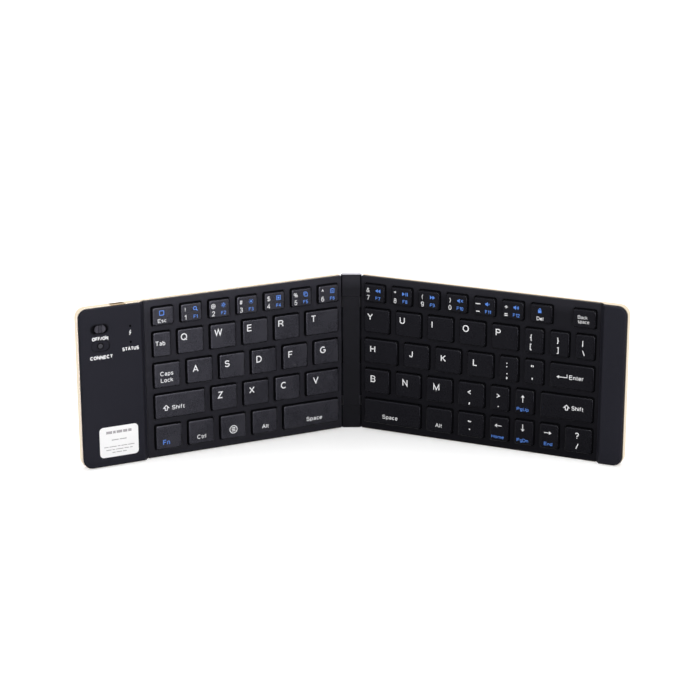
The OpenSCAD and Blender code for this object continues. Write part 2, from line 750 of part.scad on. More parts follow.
module support() {
    dome_top_r = dome_r * 0.55;
    difference() {
        union() {
            cylinder(r = dome_r, h = 0.3);
            cylinder(r1 = dome_r - 0.3, r2 = dome_top_r, h = dome_h);
        }
        translate([0, 0, -0.1]) cylinder(r1 = dome_r - 0.8, r2 = dome_top_r - 0.5, h = dome_h - 0.4);
    }
    tilt = 7;
    for (s = [-1, 1]) {
        out = s < 0 ? scissor_l : scissor_l - 2 * scissor_bar - 0.4;
        translate([0, 0, 0.9]) rotate([0, s * tilt, 0]) difference() {
            cube([scissor_l, out, scissor_bar], center = true);
            cube([scissor_l - 2 * scissor_bar, out - 2 * scissor_bar, 3], center = true);
        }
    }
}
module key_supports(side) {
    color([0.85, 0.85, 0.82]) on_side(side)
        for (row = [0:4], i = [0:len(rows_of(side)[row]) - 1])
            translate([key_x(side, row, i) + key_w(side, row, i) / 2, row_y(row) + row_h(row) / 2,
                       membrane_top]) support();
}

// A key cap: a hollow cap with a soft top edge
module key_cap(side, row, i) {
    x0 = key_x(side, row, i);
    y0 = row_y(row);
    x1 = x0 + key_w(side, row, i);
    y1 = y0 + row_h(row);
    soft = 0.5;
    difference() {
        hull() {
            slab(skirt_z, key_top_z - soft)
                round_rect(x0, y0, x1, y1, key_corner_r, key_corner_r, $fn = 24);
            slab(key_top_z - eps, key_top_z)
                round_rect(x0 + key_taper, y0 + key_taper, x1 - key_taper, y1 - key_taper,
                           key_corner_r - 0.2, key_corner_r - 0.2, $fn = 24);
        }
        translate([x0 + key_wall, y0 + key_wall, skirt_z - 1])
            cube([x1 - x0 - 2 * key_wall, y1 - y0 - 2 * key_wall, key_top_z - key_top_t - skirt_z + 1]);
    }
}
module caps(side, row, from, to) {
    color(key_colour) on_side(side) for (i = [from:to]) key_cap(side, row, i);
}

// Small screws for the hinge leaves and the main board
module screw(length) {
    cylinder(r = screw_head_r, h = screw_head_h);
    translate([0, 0, -length]) cylinder(r = screw_r, h = length + 0.1);
}
module screws(side) {
    color(steel) on_side(side) {
        both_edges() for (y = leaf_screws_y) translate([leaf_screw_x, y, leaf_z + leaf_t])
            screw(leaf_z + leaf_t - floor_z - 0.15);
        if (side == left) for (p = board_screws)
            translate([p[0], p[1], part_z]) screw(2.6);
    }
}
module feet(side) {
    color(rubber) on_side(side) both_edges()
        for (x = [foot_in + foot_r, half_len - foot_in]) translate([x, foot_in, back_z - foot_t])
            cylinder(r = foot_r, h = foot_t);
}

spine_frame();
spine_cover();
spine_end_plates();
hinge_block_top();
hinge_block_bottom();
hinge_pins();
flex_cable();
back_shell(left);  // left_back_shell
end_cover(left);  // left_end_cover
bezel(left);  // left_bezel
key_plate(left);  // left_key_plate
membrane(left);  // left_membrane
key_supports(left);  // left_key_supports
hinge_leaves(left);  // left_hinge_leaves
screws(left);  // left_screws
feet(left);  // left_feet
main_board();
battery();
charge_port();
power_switch();
power_slider();
connect_button();
indicator_lenses();
blank_label();
back_shell(right);  // right_back_shell
end_cover(right);  // right_end_cover
bezel(right);  // right_bezel
key_plate(right);  // right_key_plate
membrane(right);  // right_membrane
key_supports(right);  // right_key_supports
hinge_leaves(right);  // right_hinge_leaves
screws(right);  // right_screws
feet(right);  // right_feet
caps(left, 0, 0, 0);  // key_space_left
caps(left, 0, 1, 1);  // key_alt_left
caps(left, 0, 2, 2);  // key_menu
caps(left, 0, 3, 3);  // key_ctrl
caps(left, 0, 4, 4);  // key_fn
caps(left, 1, 4, 4);  // key_shift_left
caps(left, 2, 5, 5);  // key_caps_lock
caps(left, 3, 5, 5);  // key_tab
caps(left, 4, 6, 6);  // key_esc
caps(left, 1, 0, 3);  // keys_zxcv
caps(left, 2, 0, 4);  // keys_asdfg
caps(left, 3, 0, 4);  // keys_qwert
caps(left, 4, 0, 5);  // keys_1_to_6
caps(right, 0, 0, 0);  // key_space_right
caps(right, 0, 1, 1);  // key_alt_right
caps(right, 0, 3, 3);  // key_arrow_left
caps(right, 0, 4, 4);  // key_arrow_down
caps(right, 0, 5, 5);  // key_arrow_right
caps(right, 1, 5, 5);  // key_arrow_up
caps(right, 1, 6, 6);  // key_shift_right
caps(right, 2, 6, 6);  // key_enter
caps(right, 4, 6, 6);  // key_delete
caps(right, 4, 7, 7);  // key_backspace
caps(right, 2, 0, 5);  // keys_hjkl
caps(right, 3, 0, 7);  // keys_yuiop
caps(right, 4, 0, 5);  // keys_7_to_equals
union() {  // keys_bottom_right
    caps(right, 1, 0, 4);
    caps(right, 0, 2, 2);
    caps(right, 0, 6, 6);
}
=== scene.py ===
import math
import bpy, bmesh
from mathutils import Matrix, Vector


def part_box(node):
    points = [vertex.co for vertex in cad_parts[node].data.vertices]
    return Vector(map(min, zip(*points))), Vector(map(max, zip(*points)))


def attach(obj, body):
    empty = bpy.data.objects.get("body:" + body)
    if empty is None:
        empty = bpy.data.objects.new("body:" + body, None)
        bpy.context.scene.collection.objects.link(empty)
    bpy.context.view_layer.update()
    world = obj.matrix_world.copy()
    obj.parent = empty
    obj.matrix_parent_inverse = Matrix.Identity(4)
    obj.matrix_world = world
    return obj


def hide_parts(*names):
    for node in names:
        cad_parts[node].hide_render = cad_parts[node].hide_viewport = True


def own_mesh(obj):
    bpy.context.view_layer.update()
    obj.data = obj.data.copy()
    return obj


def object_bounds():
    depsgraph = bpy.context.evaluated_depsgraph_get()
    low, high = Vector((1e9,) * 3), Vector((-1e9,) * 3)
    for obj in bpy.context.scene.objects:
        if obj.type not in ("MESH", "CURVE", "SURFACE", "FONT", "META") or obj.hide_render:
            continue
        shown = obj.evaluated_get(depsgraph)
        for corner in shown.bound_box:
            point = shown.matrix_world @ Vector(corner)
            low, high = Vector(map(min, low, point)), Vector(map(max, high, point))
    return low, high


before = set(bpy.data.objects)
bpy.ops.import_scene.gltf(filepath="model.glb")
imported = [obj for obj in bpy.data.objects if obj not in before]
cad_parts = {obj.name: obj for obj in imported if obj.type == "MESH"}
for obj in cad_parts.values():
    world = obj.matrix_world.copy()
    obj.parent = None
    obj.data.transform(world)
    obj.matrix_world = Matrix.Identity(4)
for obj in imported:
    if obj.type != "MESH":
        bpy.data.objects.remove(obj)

print("folding keyboard: frame loaded")
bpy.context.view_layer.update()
mm = 0.001

# The camera comes first: it stands in front, a little above, and looks down at the open keyboard
view = {
    "place": (-0.0126, -1.10614, 0.4034),
    "ahead": (0.0099, 0.954, -0.2996),
    "roll": -0.0025,
    "lens": 108.92,
    "sensor": 36,
    "nearest": 0.01,
    "farthest": 50,
}


def setCamera():
    ahead = Vector(view["ahead"]).normalized()
    right = ahead.cross(Vector((0, 0, 1))).normalized()
    up = right.cross(ahead)
    turn = view["roll"]
    right, up = right * math.cos(turn) + up * math.sin(turn), up * math.cos(turn) - right * math.sin(turn)
    data = bpy.data.cameras.new("camera")
    data.lens, data.sensor_width, data.sensor_fit = view["lens"], view["sensor"], "HORIZONTAL"
    data.clip_start, data.clip_end = view["nearest"], view["farthest"]
    camera = bpy.data.objects.new("camera", data)
    bpy.context.scene.collection.objects.link(camera)
    for row in range(3):
        camera.matrix_world[row][0], camera.matrix_world[row][1] = right[row], up[row]
        camera.matrix_world[row][2], camera.matrix_world[row][3] = -ahead[row], view["place"][row]
    bpy.context.scene.camera = camera


setCamera()
bpy.context.scene.view_settings.view_transform = "Standard"

# Each half lies flat in (across, up, out) from its hinge axis, then turns to the standing pose
fold = {"angle": 24.9, "axisX": 4.7, "axisY": 33.433}
left, right = -1, 1
sinFold, cosFold = math.sin(math.radians(fold["angle"])), math.cos(math.radians(fold["angle"]))
halfName = {left: "left_half", right: "right_half"}


def onHalf(side, across, up, out):    # a point of a half, in metres
    x = fold["axisX"] + across * cosFold - out * sinFold
    y = fold["axisY"] - across * sinFold - out * cosFold
    return Vector((side * x, y, up)) * mm


edgeMask = {"samples": 4, "gain": 3}


class Wire:                           # one socket of a material, so that its maths reads as maths
    def __init__(self, tree, socket=None):
        self.tree, self.socket = tree, socket

    # Any other node: settings first, then sockets
    def node(self, kind, settings=None, sockets=None, out=0):
        made = self.tree.nodes.new(kind)
        for name, value in (settings or {}).items():
            if name == "stops":
                ends = made.color_ramp.elements
                for spot, (at, tone) in ((ends[0], value[0]), (ends[-1], value[-1])):
                    spot.position, spot.color = at, (*tone, 1)
                for at, tone in value[1:-1]:
                    ends.new(at).color = (*tone, 1)
            else:
                setattr(made, name, value)
        for name, value in (sockets or {}).items():
            self.feed(made.inputs[name], value)
        return Wire(self.tree, made.outputs[out])

    def feed(self, entry, value):
        if isinstance(value, Wire):
            self.tree.links.new(value.socket, entry)
        elif isinstance(value, tuple) and entry.type == "RGBA" and len(value) == 3:
            entry.default_value = (*value, 1)
        else:
            entry.default_value = value

    def wide(self):
        return self.socket.type in {"RGBA", "VECTOR"}

    def sum(self, work, first, second):
        if any(isinstance(term, Wire) and term.wide() for term in (first, second)):
            terms = [(term,) * 3 if isinstance(term, (int, float)) else term for term in (first, second)]
            return self.node("ShaderNodeVectorMath", {"operation": work}, dict(enumerate(terms)))
        return self.node("ShaderNodeMath", {"operation": work}, {0: first, 1: second})

    def __add__(self, other):
        return self.sum("ADD", self, other)

    def __radd__(self, other):
        return self.sum("ADD", other, self)

    def __sub__(self, other):
        return self.sum("SUBTRACT", self, other)

    def __rsub__(self, other):
        return self.sum("SUBTRACT", other, self)

    def __mul__(self, other):
        return self.sum("MULTIPLY", self, other)

    def __rmul__(self, other):
        return self.sum("MULTIPLY", other, self)

    def __truediv__(self, other):
        return self.sum("DIVIDE", self, other)

    def __pow__(self, other):
        return self.sum("POWER", self, other)

    def clamp(self):                  # keeps a value between 0 and 1
        return self.node("ShaderNodeClamp", None, {"Value": self})

    def spread(self):                 # distance from zero
        return self.node("ShaderNodeMath", {"operation": "ABSOLUTE"}, {0: self})

    def atLeast(self, low):
        return self.node("ShaderNodeMath", {"operation": "MAXIMUM"}, {0: self, 1: low})

    def tint(self, low, high):        # a colour between two, by this value
        return self.node("ShaderNodeMix", {"data_type": "RGBA"}, {0: self, 6: low, 7: high}, out=2)

    def noise(self, scale, detail=2.0, rough=0.5):    # grain fixed to the piece, scale in cycles per metre
        place = self.node("ShaderNodeTexCoord", None, None, out=3)
        return self.node("ShaderNodeTexNoise", None,
                         {"Vector": place, "Scale": scale, "Detail": detail, "Roughness": rough})

    def stretched(self, size, scale, detail=2.0):      # grain drawn out along one axis
        place = self.node("ShaderNodeTexCoord", None, None, out=3)
        longer = self.node("ShaderNodeMapping", None, {"Vector": place, "Scale": size})
        return self.node("ShaderNodeTexNoise", None, {"Vector": longer, "Scale": scale, "Detail": detail})

    def edgeWearAndSheen(self, radius):           # 1 on sharp edges, 0 on open faces
        soft = self.node("ShaderNodeBevel", {"samples": edgeMask["samples"]}, {"Radius": radius})
        flat = self.node("ShaderNodeNewGeometry", None, None, out=1)
        along = self.node("ShaderNodeVectorMath", {"operation": "DOT_PRODUCT"}, {0: soft, 1: flat}, out=1)
        return ((1 - along) * edgeMask["gain"]).clamp()

    def bumped(self, height, depth, strength=1.0):
        return self.node("ShaderNodeBump", None, {"Height": height, "Distance": depth, "Strength": strength})


def finish(name, varied, **fixed):    # a material: what varies over it, then its fixed numbers
    material = bpy.data.materials.new(name)
    material.use_nodes = True
    tree = material.node_tree
    tree.nodes.clear()
    start = Wire(tree)
    fed = {key.replace("_", " "): value for key, value in fixed.items()}
    fed.update(varied(start))
    shader = start.node("ShaderNodeBsdfPrincipled", None, fed)
    tree.links.new(shader.socket, tree.nodes.new("ShaderNodeOutputMaterial").inputs["Surface"])
    return material


capLook = {"top": (0.0031, 0.003, 0.0042), "rim": (0.007, 0.0068, 0.0085), "rough": 0.27,
           "grain": 5200, "grainDepth": 0.000018, "cloud": 60}
shadedSideLook = {"low": (0.004, 0.004, 0.005), "high": (0.009, 0.009, 0.011), "rough": 0.62, "grain": 2600,
            "grainDepth": 0.00002}
frameLook = {"low": (0.0054, 0.0053, 0.0069), "high": (0.0070, 0.0068, 0.0089), "rough": 0.33,
             "grain": 3800, "grainDepth": 0.00003, "cloud": 38, "edge": 0.00025}
coverLook = {"low": (0.0160, 0.0160, 0.0222), "high": (0.0196, 0.0196, 0.0268), "rough": 0.55,
             "grain": 4600, "grainDepth": 0.00002, "cloud": 38, "edge": 0.00025}
goldLook = {"low": (0.92, 0.77, 0.55), "high": (0.97, 0.85, 0.66), "rough": 0.3, "grain": 9000,
            "grainDepth": 0.000006,
            "cloud": 30, "edge": 0.0002, "rubbed": (0.97, 0.9, 0.74), "lining": (0.006, 0.006, 0.007),
            "liningTo": 2.06,
            "inlet": (0.5, 0.35, 0.18), "inletAcross": 133.42, "inletHalf": 4.2, "inletFrom": 88.6}
# coat is the dark tone of the block sides that face the halves
blockLook = {"coat": (0.007, 0.007, 0.009), "low": (0.56, 0.55, 0.6), "high": (0.68, 0.67, 0.72),
             "rough": 0.4, "bottom": 0.0001, "top": 0.0899, "endFade": 40000, "back": 1.4, "backFade": 8}
drawnGrain = {"scale": 900, "depth": 0.000006}
inkLook = {"white": (0.9, 0.9, 0.91), "blue": (0.105, 0.28, 0.85), "rough": 0.45}


def capTop(w):                        # matte moulded cap, polished a little where fingers rub; its paler rim is partly that wear and partly painted highlight
    grain = w.noise(capLook["grain"], 3)
    cloud = w.noise(capLook["cloud"], 2)
    rim = w.node("ShaderNodeAttribute", {"attribute_name": "rim"}, None, out=2)
    base = (cloud * 0.3 + grain * 0.2).tint(tuple(c * 0.9 for c in capLook["top"]),
                                            tuple(c * 1.25 for c in capLook["top"]))
    return {"Base Color": (rim * 0.8).tint(base, capLook["rim"]),
            "Roughness": capLook["rough"] + (cloud - 0.5) * 0.16 + (grain - 0.5) * 0.12 - rim * 0.08,
            "Normal": w.bumped(grain, capLook["grainDepth"])}


# The cap's sides: the same plastic with no specular reflection, so that they stay dark, as painted shade
def capSide(w):
    grain = w.noise(shadedSideLook["grain"], 2)
    return {"Base Color": grain.tint(shadedSideLook["low"], shadedSideLook["high"]),
            "Roughness": shadedSideLook["rough"] + (grain - 0.5) * 0.2,
            "Normal": w.bumped(grain, shadedSideLook["grainDepth"])}


# Painted shade round the switch slot, the button's recess and the button. A slot is its middle across and up,
# its length and height, and how far out its shaded edge lies
paintedControlShade = {
    "slots": ((144.82, 78.2, 9.8, 5.0, 0.2), (144.42, 68.7, 10.2, 6.0, -0.05)), "slotFade": 2.2,
    "slotDark": 0.6, "ring": (144.42, 68.7, 1.75), "ringFade": 2.5, "ringDark": 0.75,
}
# Slope and top strip of the painted sheen on the frames and spine
paintedSheenRamp = {"from": 10, "over": 65, "gain": 0.26, "topFrom": 82, "topOver": 5, "topGain": 0.5}


def controlShade(w):                  # painted shade round the switch slot and the button's recess, and in a ring round the button
    across, up, _ = acrossHalf(w)
    tone = 1
    for middle, level, length, height, offset in paintedControlShade["slots"]:
        beside = ((across - middle).spread() - (length - height) / 2).atLeast(0)
        reach = (beside ** 2 + (up - level) ** 2) ** 0.5 - height / 2
        joint = (1 - (reach - offset).spread() * paintedControlShade["slotFade"]).clamp()
        tone = tone * (1 - joint * paintedControlShade["slotDark"])
    middle, level, radius = paintedControlShade["ring"]
    ring = ((across - middle) ** 2 + (up - level) ** 2) ** 0.5
    joint = (1 - (ring - radius).spread() * paintedControlShade["ringFade"]).clamp()
    return tone * (1 - joint * paintedControlShade["ringDark"])


def paintedTopSheen(w):                       # painted sheen: frames and spine paler towards their upper edge
    up = acrossHalf(w)[1]
    slope = ((up - paintedSheenRamp["from"]) / paintedSheenRamp["over"]).clamp()
    edge = ((up - paintedSheenRamp["topFrom"]) / paintedSheenRamp["topOver"]).clamp()
    return 1 - slope * paintedSheenRamp["gain"] - edge * paintedSheenRamp["topGain"]


# A mould grain with edges paler towards a given tone, partly rubbed wear and partly painted highlight. An
# optional mask blends in a further tone: painted sheen on the frames and spine, painted shade on the left
# cover
def sparked(look, wear, tone, shade=None, under=(0.0, 0.0, 0.0)):
    def build(w):
        grain = w.noise(look["grain"], 3)
        cloud = w.noise(look["cloud"], 3)
        edge = w.edgeWearAndSheen(look["edge"]) * wear
        base = edge.tint((cloud * 0.6 + grain * 0.4).tint(look["low"], look["high"]), tone)
        return {"Base Color": shade(w).tint(under, base) if shade else base,
                "Roughness": look["rough"] + (cloud - 0.5) * 0.14 + (grain - 0.5) * 0.14 - edge * 0.12,
                "Normal": w.bumped(grain, look["grainDepth"])}
    return build


# A shaded point from its hinge axis, its height and its side, in millimetres
def acrossHalf(w):
    place = w.node("ShaderNodeTexCoord", None, None, out=3)
    x, y, z = [w.node("ShaderNodeSeparateXYZ", None, {0: place}, out=axis) / mm for axis in (0, 1, 2)]
    return (x.spread() - fold["axisX"]) * cosFold - (y - fold["axisY"]) * sinFold, z, x


# Fine blasted metal, brighter on its rubbed edges, with painted shade where the case meets the hinge and a
# darker tan round the charging inlet
def anodised(w):
    across, up, x = acrossHalf(w)
    bare = ((across - goldLook["liningTo"]) * 20).clamp()
    beside = ((goldLook["inletHalf"] - (across - goldLook["inletAcross"]).spread()) * 4).clamp()
    inlet = beside * ((up - goldLook["inletFrom"]) * 4).clamp() * (x * -1).clamp()
    grain = w.noise(goldLook["grain"], 2)
    cloud = w.noise(goldLook["cloud"], 3)
    edge = w.edgeWearAndSheen(goldLook["edge"])
    base = (cloud * 0.7 + grain * 0.3).tint(goldLook["low"], goldLook["high"])
    metal = inlet.tint((edge * 0.5).tint(base, goldLook["rubbed"]), goldLook["inlet"])
    return {"Base Color": bare.tint(goldLook["lining"], metal), "Metallic": bare,
            "Roughness": goldLook["rough"] + (cloud - 0.5) * 0.1 + (grain - 0.5) * 0.14 - edge * 0.06,
            "Normal": w.bumped(grain, goldLook["grainDepth"])}


def brushed(low, high, rough, along):  # drawn metal with its grain along one axis
    def build(w):
        line = w.stretched(along, drawnGrain["scale"], 3)
        cloud = w.noise(80, 2)
        edge = w.edgeWearAndSheen(0.0002)
        base = (line * 0.7 + cloud * 0.3).tint(low, high)
        return {"Base Color": (edge * 0.4).tint(base, tuple(min(1, c * 1.25) for c in high)),
                "Roughness": rough + (line - 0.5) * 0.22 + (cloud - 0.5) * 0.1,
                "Normal": w.bumped(line, drawnGrain["depth"])}
    return build


# Pale drawn metal at the top and bottom ends and the back, dark on the sides that face the halves
def blockSkin(w):
    place = w.node("ShaderNodeTexCoord", None, None, out=3)
    y, z = [w.node("ShaderNodeSeparateXYZ", None, {0: place}, out=axis) for axis in (1, 2)]
    fade = blockLook["endFade"]
    ends = ((z - blockLook["top"]) * fade).clamp() + ((blockLook["bottom"] - z) * fade).clamp()
    back = ((y / mm - fold["axisY"] - blockLook["back"]) * blockLook["backFade"]).clamp()
    bare = (ends + back).clamp()
    line = w.stretched((1, 1, 0.08), drawnGrain["scale"], 3)
    base = line.tint(blockLook["low"], blockLook["high"])
    return {"Base Color": bare.tint(blockLook["coat"], base), "Metallic": bare,
            "Roughness": blockLook["rough"] + (line - 0.5) * 0.2,
            "Normal": w.bumped(line, drawnGrain["depth"])}


def speckled(low, high, rough, scale, depth):
    def build(w):
        grain = w.noise(scale, 4)
        cloud = w.noise(scale * 0.04, 2)
        return {"Base Color": (grain * 0.5 + cloud * 0.5).tint(low, high),
                "Roughness": rough + (grain - 0.5) * 0.2, "Normal": w.bumped(grain, depth)}
    return build


def boardSkin(w):                     # solder mask with copper runs showing faintly under it
    place = w.node("ShaderNodeTexCoord", None, None, out=3)
    runs = w.node("ShaderNodeTexBrick", None, {"Vector": place, "Scale": 300, "Mortar Size": 0.05}, out=1)
    grain = w.noise(900, 3)
    return {"Base Color": (runs * 0.5 + grain * 0.2).clamp().tint((0.012, 0.11, 0.055), (0.03, 0.2, 0.09)),
            "Roughness": 0.38 + grain * 0.12, "Normal": w.bumped(runs, 0.00002)}


def inkSkin(tone):
    def build(w):
        grain = w.noise(2400, 3)
        return {"Base Color": grain.tint(tuple(c * 0.86 for c in tone),
                                         tuple(min(1, c * 1.08) for c in tone)),
                "Roughness": inkLook["rough"] + (grain - 0.5) * 0.2, "Normal": w.bumped(grain, 0.000006)}
    return build


skin = {
    "capTop": finish("capTop", capTop, IOR=1.5, Specular_IOR_Level=0.6),
    # The cap sides reflect nothing: painted shade
    "capSide": finish("capSide", capSide, IOR=1.5, Specular_IOR_Level=0.0),
    # The frames and the spine carry a painted sheen towards their top
    "frameBlack": finish("frameBlack", sparked(frameLook, 0.3, (0.025, 0.025, 0.03), paintedTopSheen,
                                               (0.025, 0.0245, 0.031)), IOR=1.5, Specular_IOR_Level=0.2),
    "coverBlack": finish("coverBlack", sparked(coverLook, 0.4, (0.05, 0.05, 0.062)), IOR=1.5,
                         Specular_IOR_Level=0.08),
    # The left end cover, with painted shade round its controls
    "controlBlack": finish("controlBlack", sparked(coverLook, 0.4, (0.05, 0.05, 0.062), controlShade),
                           IOR=1.5, Specular_IOR_Level=0.08),
    "spineBlack": finish("spineBlack", sparked(frameLook, 0.4, (0.03, 0.03, 0.036), paintedTopSheen,
                                               (0.03, 0.0295, 0.037)), IOR=1.5, Specular_IOR_Level=0.3),
    "gold": finish("gold", anodised),
    "blockMetal": finish("blockMetal", blockSkin, IOR=1.5, Specular_IOR_Level=0.0),
    "frameMetal": finish("frameMetal", brushed((0.005, 0.005, 0.007), (0.009, 0.009, 0.012), 0.6,
                                               (1, 1, 0.06)), IOR=1.5, Specular_IOR_Level=0.03),
    "steel": finish("steel", brushed((0.5, 0.5, 0.52), (0.64, 0.64, 0.66), 0.34, (1, 0.08, 1)), Metallic=1.0),
    "leafSteel": finish("leafSteel", brushed((0.06, 0.06, 0.066), (0.1, 0.1, 0.11), 0.42, (1, 0.08, 1)),
                        Metallic=0.8),
    "film": finish("film", speckled((0.006, 0.006, 0.007), (0.011, 0.011, 0.012), 0.6, 800, 0.00001),
                   IOR=1.5, Specular_IOR_Level=0.1),
    "flex": finish("flex", speckled((0.16, 0.07, 0.02), (0.22, 0.10, 0.03), 0.35, 700, 0.00001), IOR=1.5),
    "dome": finish("dome", speckled((0.62, 0.62, 0.58), (0.74, 0.74, 0.70), 0.55, 900, 0.00002), IOR=1.45),
    "scissor": finish("scissor", speckled((0.50, 0.50, 0.49), (0.62, 0.62, 0.6), 0.5, 1500, 0.00001),
                      IOR=1.5),
    "footRubber": finish("footRubber", speckled((0.012, 0.012, 0.012), (0.03, 0.03, 0.03), 0.8, 2600,
                                                0.00005), IOR=1.5, Specular_IOR_Level=0.3),
    "board": finish("board", boardSkin, IOR=1.5),
    "foil": finish("foil", speckled((0.42, 0.43, 0.45), (0.55, 0.56, 0.58), 0.3, 240, 0.00006), Metallic=0.9),
    "portMetal": finish("portMetal", brushed((0.5, 0.37, 0.21), (0.62, 0.47, 0.28), 0.3, (1, 1, 0.1)),
                        Metallic=1.0),
    "control": finish("control", speckled((0.045, 0.043, 0.055), (0.062, 0.06, 0.074), 0.5, 4200, 0.00002),
                      IOR=1.5, Specular_IOR_Level=0.2),
    # Dark plastic for the knob's lower parts and the button's collar and sides: painted shade in the slot and
    # round the button
    "controlDark": finish("controlDark", speckled((0.003, 0.003, 0.004), (0.006, 0.006, 0.008), 0.6, 3000,
                                                  0.00002), IOR=1.5, Specular_IOR_Level=0.05),
    "buttonTop": finish("buttonTop", speckled((0.03, 0.03, 0.035), (0.045, 0.045, 0.052), 0.45, 4200,
                                              0.00002), IOR=1.5, Specular_IOR_Level=0.3),
    "lens": finish("lens", speckled((0.0006, 0.0006, 0.001), (0.0012, 0.0012, 0.002), 0.4, 1200, 0.000004),
                   IOR=1.5, Specular_IOR_Level=0.02),
    "paper": finish("paper", speckled((0.95, 0.945, 0.945), (0.98, 0.975, 0.975), 0.55, 3000, 0.000012),
                    IOR=1.5),
    "whiteInk": finish("whiteInk", inkSkin(inkLook["white"]), IOR=1.5),
    "blueInk": finish("blueInk", inkSkin(inkLook["blue"]), IOR=1.5),
    "greyInk": finish("greyInk", inkSkin((0.42, 0.4, 0.41)), IOR=1.5),
}
print("finishes ready:", len(skin))


# The CAD pieces get their finishes, and smooth shading in place of their stored normals
smoothing = {"weld": 0.000002, "caseCrease": 32, "pieceCrease": 38}


def softShading(limit):               # welds the corners, then smooths all but the sharp edges
    group = bpy.data.node_groups.new("softShading", "GeometryNodeTree")
    group.interface.new_socket("Geometry", in_out="INPUT", socket_type="NodeSocketGeometry")
    group.interface.new_socket("Geometry", in_out="OUTPUT", socket_type="NodeSocketGeometry")
    start, end = group.nodes.new("NodeGroupInput"), group.nodes.new("NodeGroupOutput")
    weld = group.nodes.new("GeometryNodeMergeByDistance")
    weld.inputs["Distance"].default_value = smoothing["weld"]
    smooth = group.nodes.new("GeometryNodeSetShadeSmooth")
    angle = group.nodes.new("GeometryNodeInputMeshEdgeAngle")
    sharp = group.nodes.new("FunctionNodeCompare")
    sharp.operation = "GREATER_THAN"
    sharp.inputs[1].default_value = math.radians(limit)
    crease = group.nodes.new("GeometryNodeSetShadeSmooth")
    crease.domain = "EDGE"
    crease.inputs["Shade Smooth"].default_value = False
    links = group.links
    links.new(start.outputs[0], weld.inputs["Geometry"])
    links.new(weld.outputs[0], smooth.inputs["Geometry"])
    links.new(smooth.outputs[0], crease.inputs["Geometry"])
    links.new(angle.outputs["Unsigned Angle"], sharp.inputs[0])
    links.new(sharp.outputs[0], crease.inputs["Selection"])
    links.new(crease.outputs[0], end.inputs[0])
    return group


nodeSkin = {
    "spine_frame": "frameMetal", "spine_cover": "spineBlack", "spine_end_plates": "spineBlack",
    "hinge_block_top": "blockMetal", "hinge_block_bottom": "blockMetal", "hinge_pins": "steel",
    "flex_cable": "flex",
    "main_board": "board", "battery": "foil", "charge_port": "portMetal", "power_switch": "steel",
    "power_slider": "control", "connect_button": "control", "indicator_lenses": "lens",
    "blank_label": "paper",
}
for half in ("left", "right"):
    for part, coat in (("back_shell", "gold"), ("end_cover", "coverBlack"), ("bezel", "frameBlack"),
                       ("key_plate", "steel"), ("membrane", "film"), ("hinge_leaves", "leafSteel"),
                       ("screws", "steel"), ("feet", "footRubber")):
        nodeSkin[f"{half}_{part}"] = coat
nodeSkin["left_end_cover"] = "controlBlack"
shading = softShading(smoothing["caseCrease"])
for name, coat in nodeSkin.items():
    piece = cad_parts[name]
    if "custom_normal" in piece.data.attributes:
        piece.data.attributes.remove(piece.data.attributes["custom_normal"])
    piece.data.materials.clear()
    piece.data.materials.append(skin[coat])
    piece.modifiers.new("softShading", "NODES").node_group = shading
print("CAD pieces finished:", len(nodeSkin))


def newPiece(name, mesh, coats, body):    # a mesh becomes a piece that rides on a body
    data = bpy.data.meshes.new(name)
    mesh.to_mesh(data)
    mesh.free()
    for coat in coats:
        data.materials.append(skin[coat])
    data.shade_smooth()
    data.set_sharp_from_angle(angle=math.radians(smoothing["pieceCrease"]))
    piece = bpy.data.objects.new(name, data)
    bpy.context.scene.collection.objects.link(piece)
    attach(piece, body)
    return piece


# Slightly fuller copies stand for the spine frame and its blocks, so that the seams let no light through
hingeSeal = {"pieces": ("spine_frame", "hinge_block_top", "hinge_block_bottom"), "swell": 0.17}
for name in hingeSeal["pieces"]:
    piece = bpy.data.objects.new(f"{name}_sealed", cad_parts[name].data.copy())
    bpy.context.scene.collection.objects.link(piece)
    piece.modifiers.new("softShading", "NODES").node_group = shading
    swell = piece.modifiers.new("swell", "DISPLACE")
    swell.mid_level = 0
    swell.strength = hingeSeal["swell"] * mm
    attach(piece, "spine")
    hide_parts(name)


def roundedRing(width, height, radius, inset, steps=5):    # corners of a rounded rectangle, anticlockwise
    reach = max(radius - inset, 0.15)
    points = []
    for turn, (sx, sy) in enumerate(((1, 1), (-1, 1), (-1, -1), (1, -1))):
        cx, cy = sx * (width / 2 - inset - reach), sy * (height / 2 - inset - reach)
        for step in range(steps + 1):
            a = math.radians(90 * turn + 90 * step / steps)
            points.append((cx + reach * math.cos(a), cy + reach * math.sin(a)))
    return points


def bridge(mesh, lower, upper, coat=0):             # quads between two rings of the same length
    for i in range(len(lower)):
        j = (i + 1) % len(lower)
        mesh.faces.new((lower[i], lower[j], upper[j], upper[i])).material_index = coat


cap = {
    "corner": 1.3, "skirt": 1.6, "top": 3.85, "wall": 1.0, "roof": 1.2, "crown": 0.95,
    "edge": ((0.0, 1.6), (0.02, 3.3), (0.05, 3.52), (0.1, 3.66), (0.18, 3.77), (0.27, 3.83), (0.38, 3.85)),
    "wear": (0, 0, 0, 0, 0.3, 0.6, 0.25),
    "shade": 5,                       # from this ring up the cap has its grained top; below it the sides have painted shade
}
rowSpan = ((4.7, 18.7), (22.4, 36.4), (40.1, 54.1), (57.8, 71.8), (75.5, 85.7))


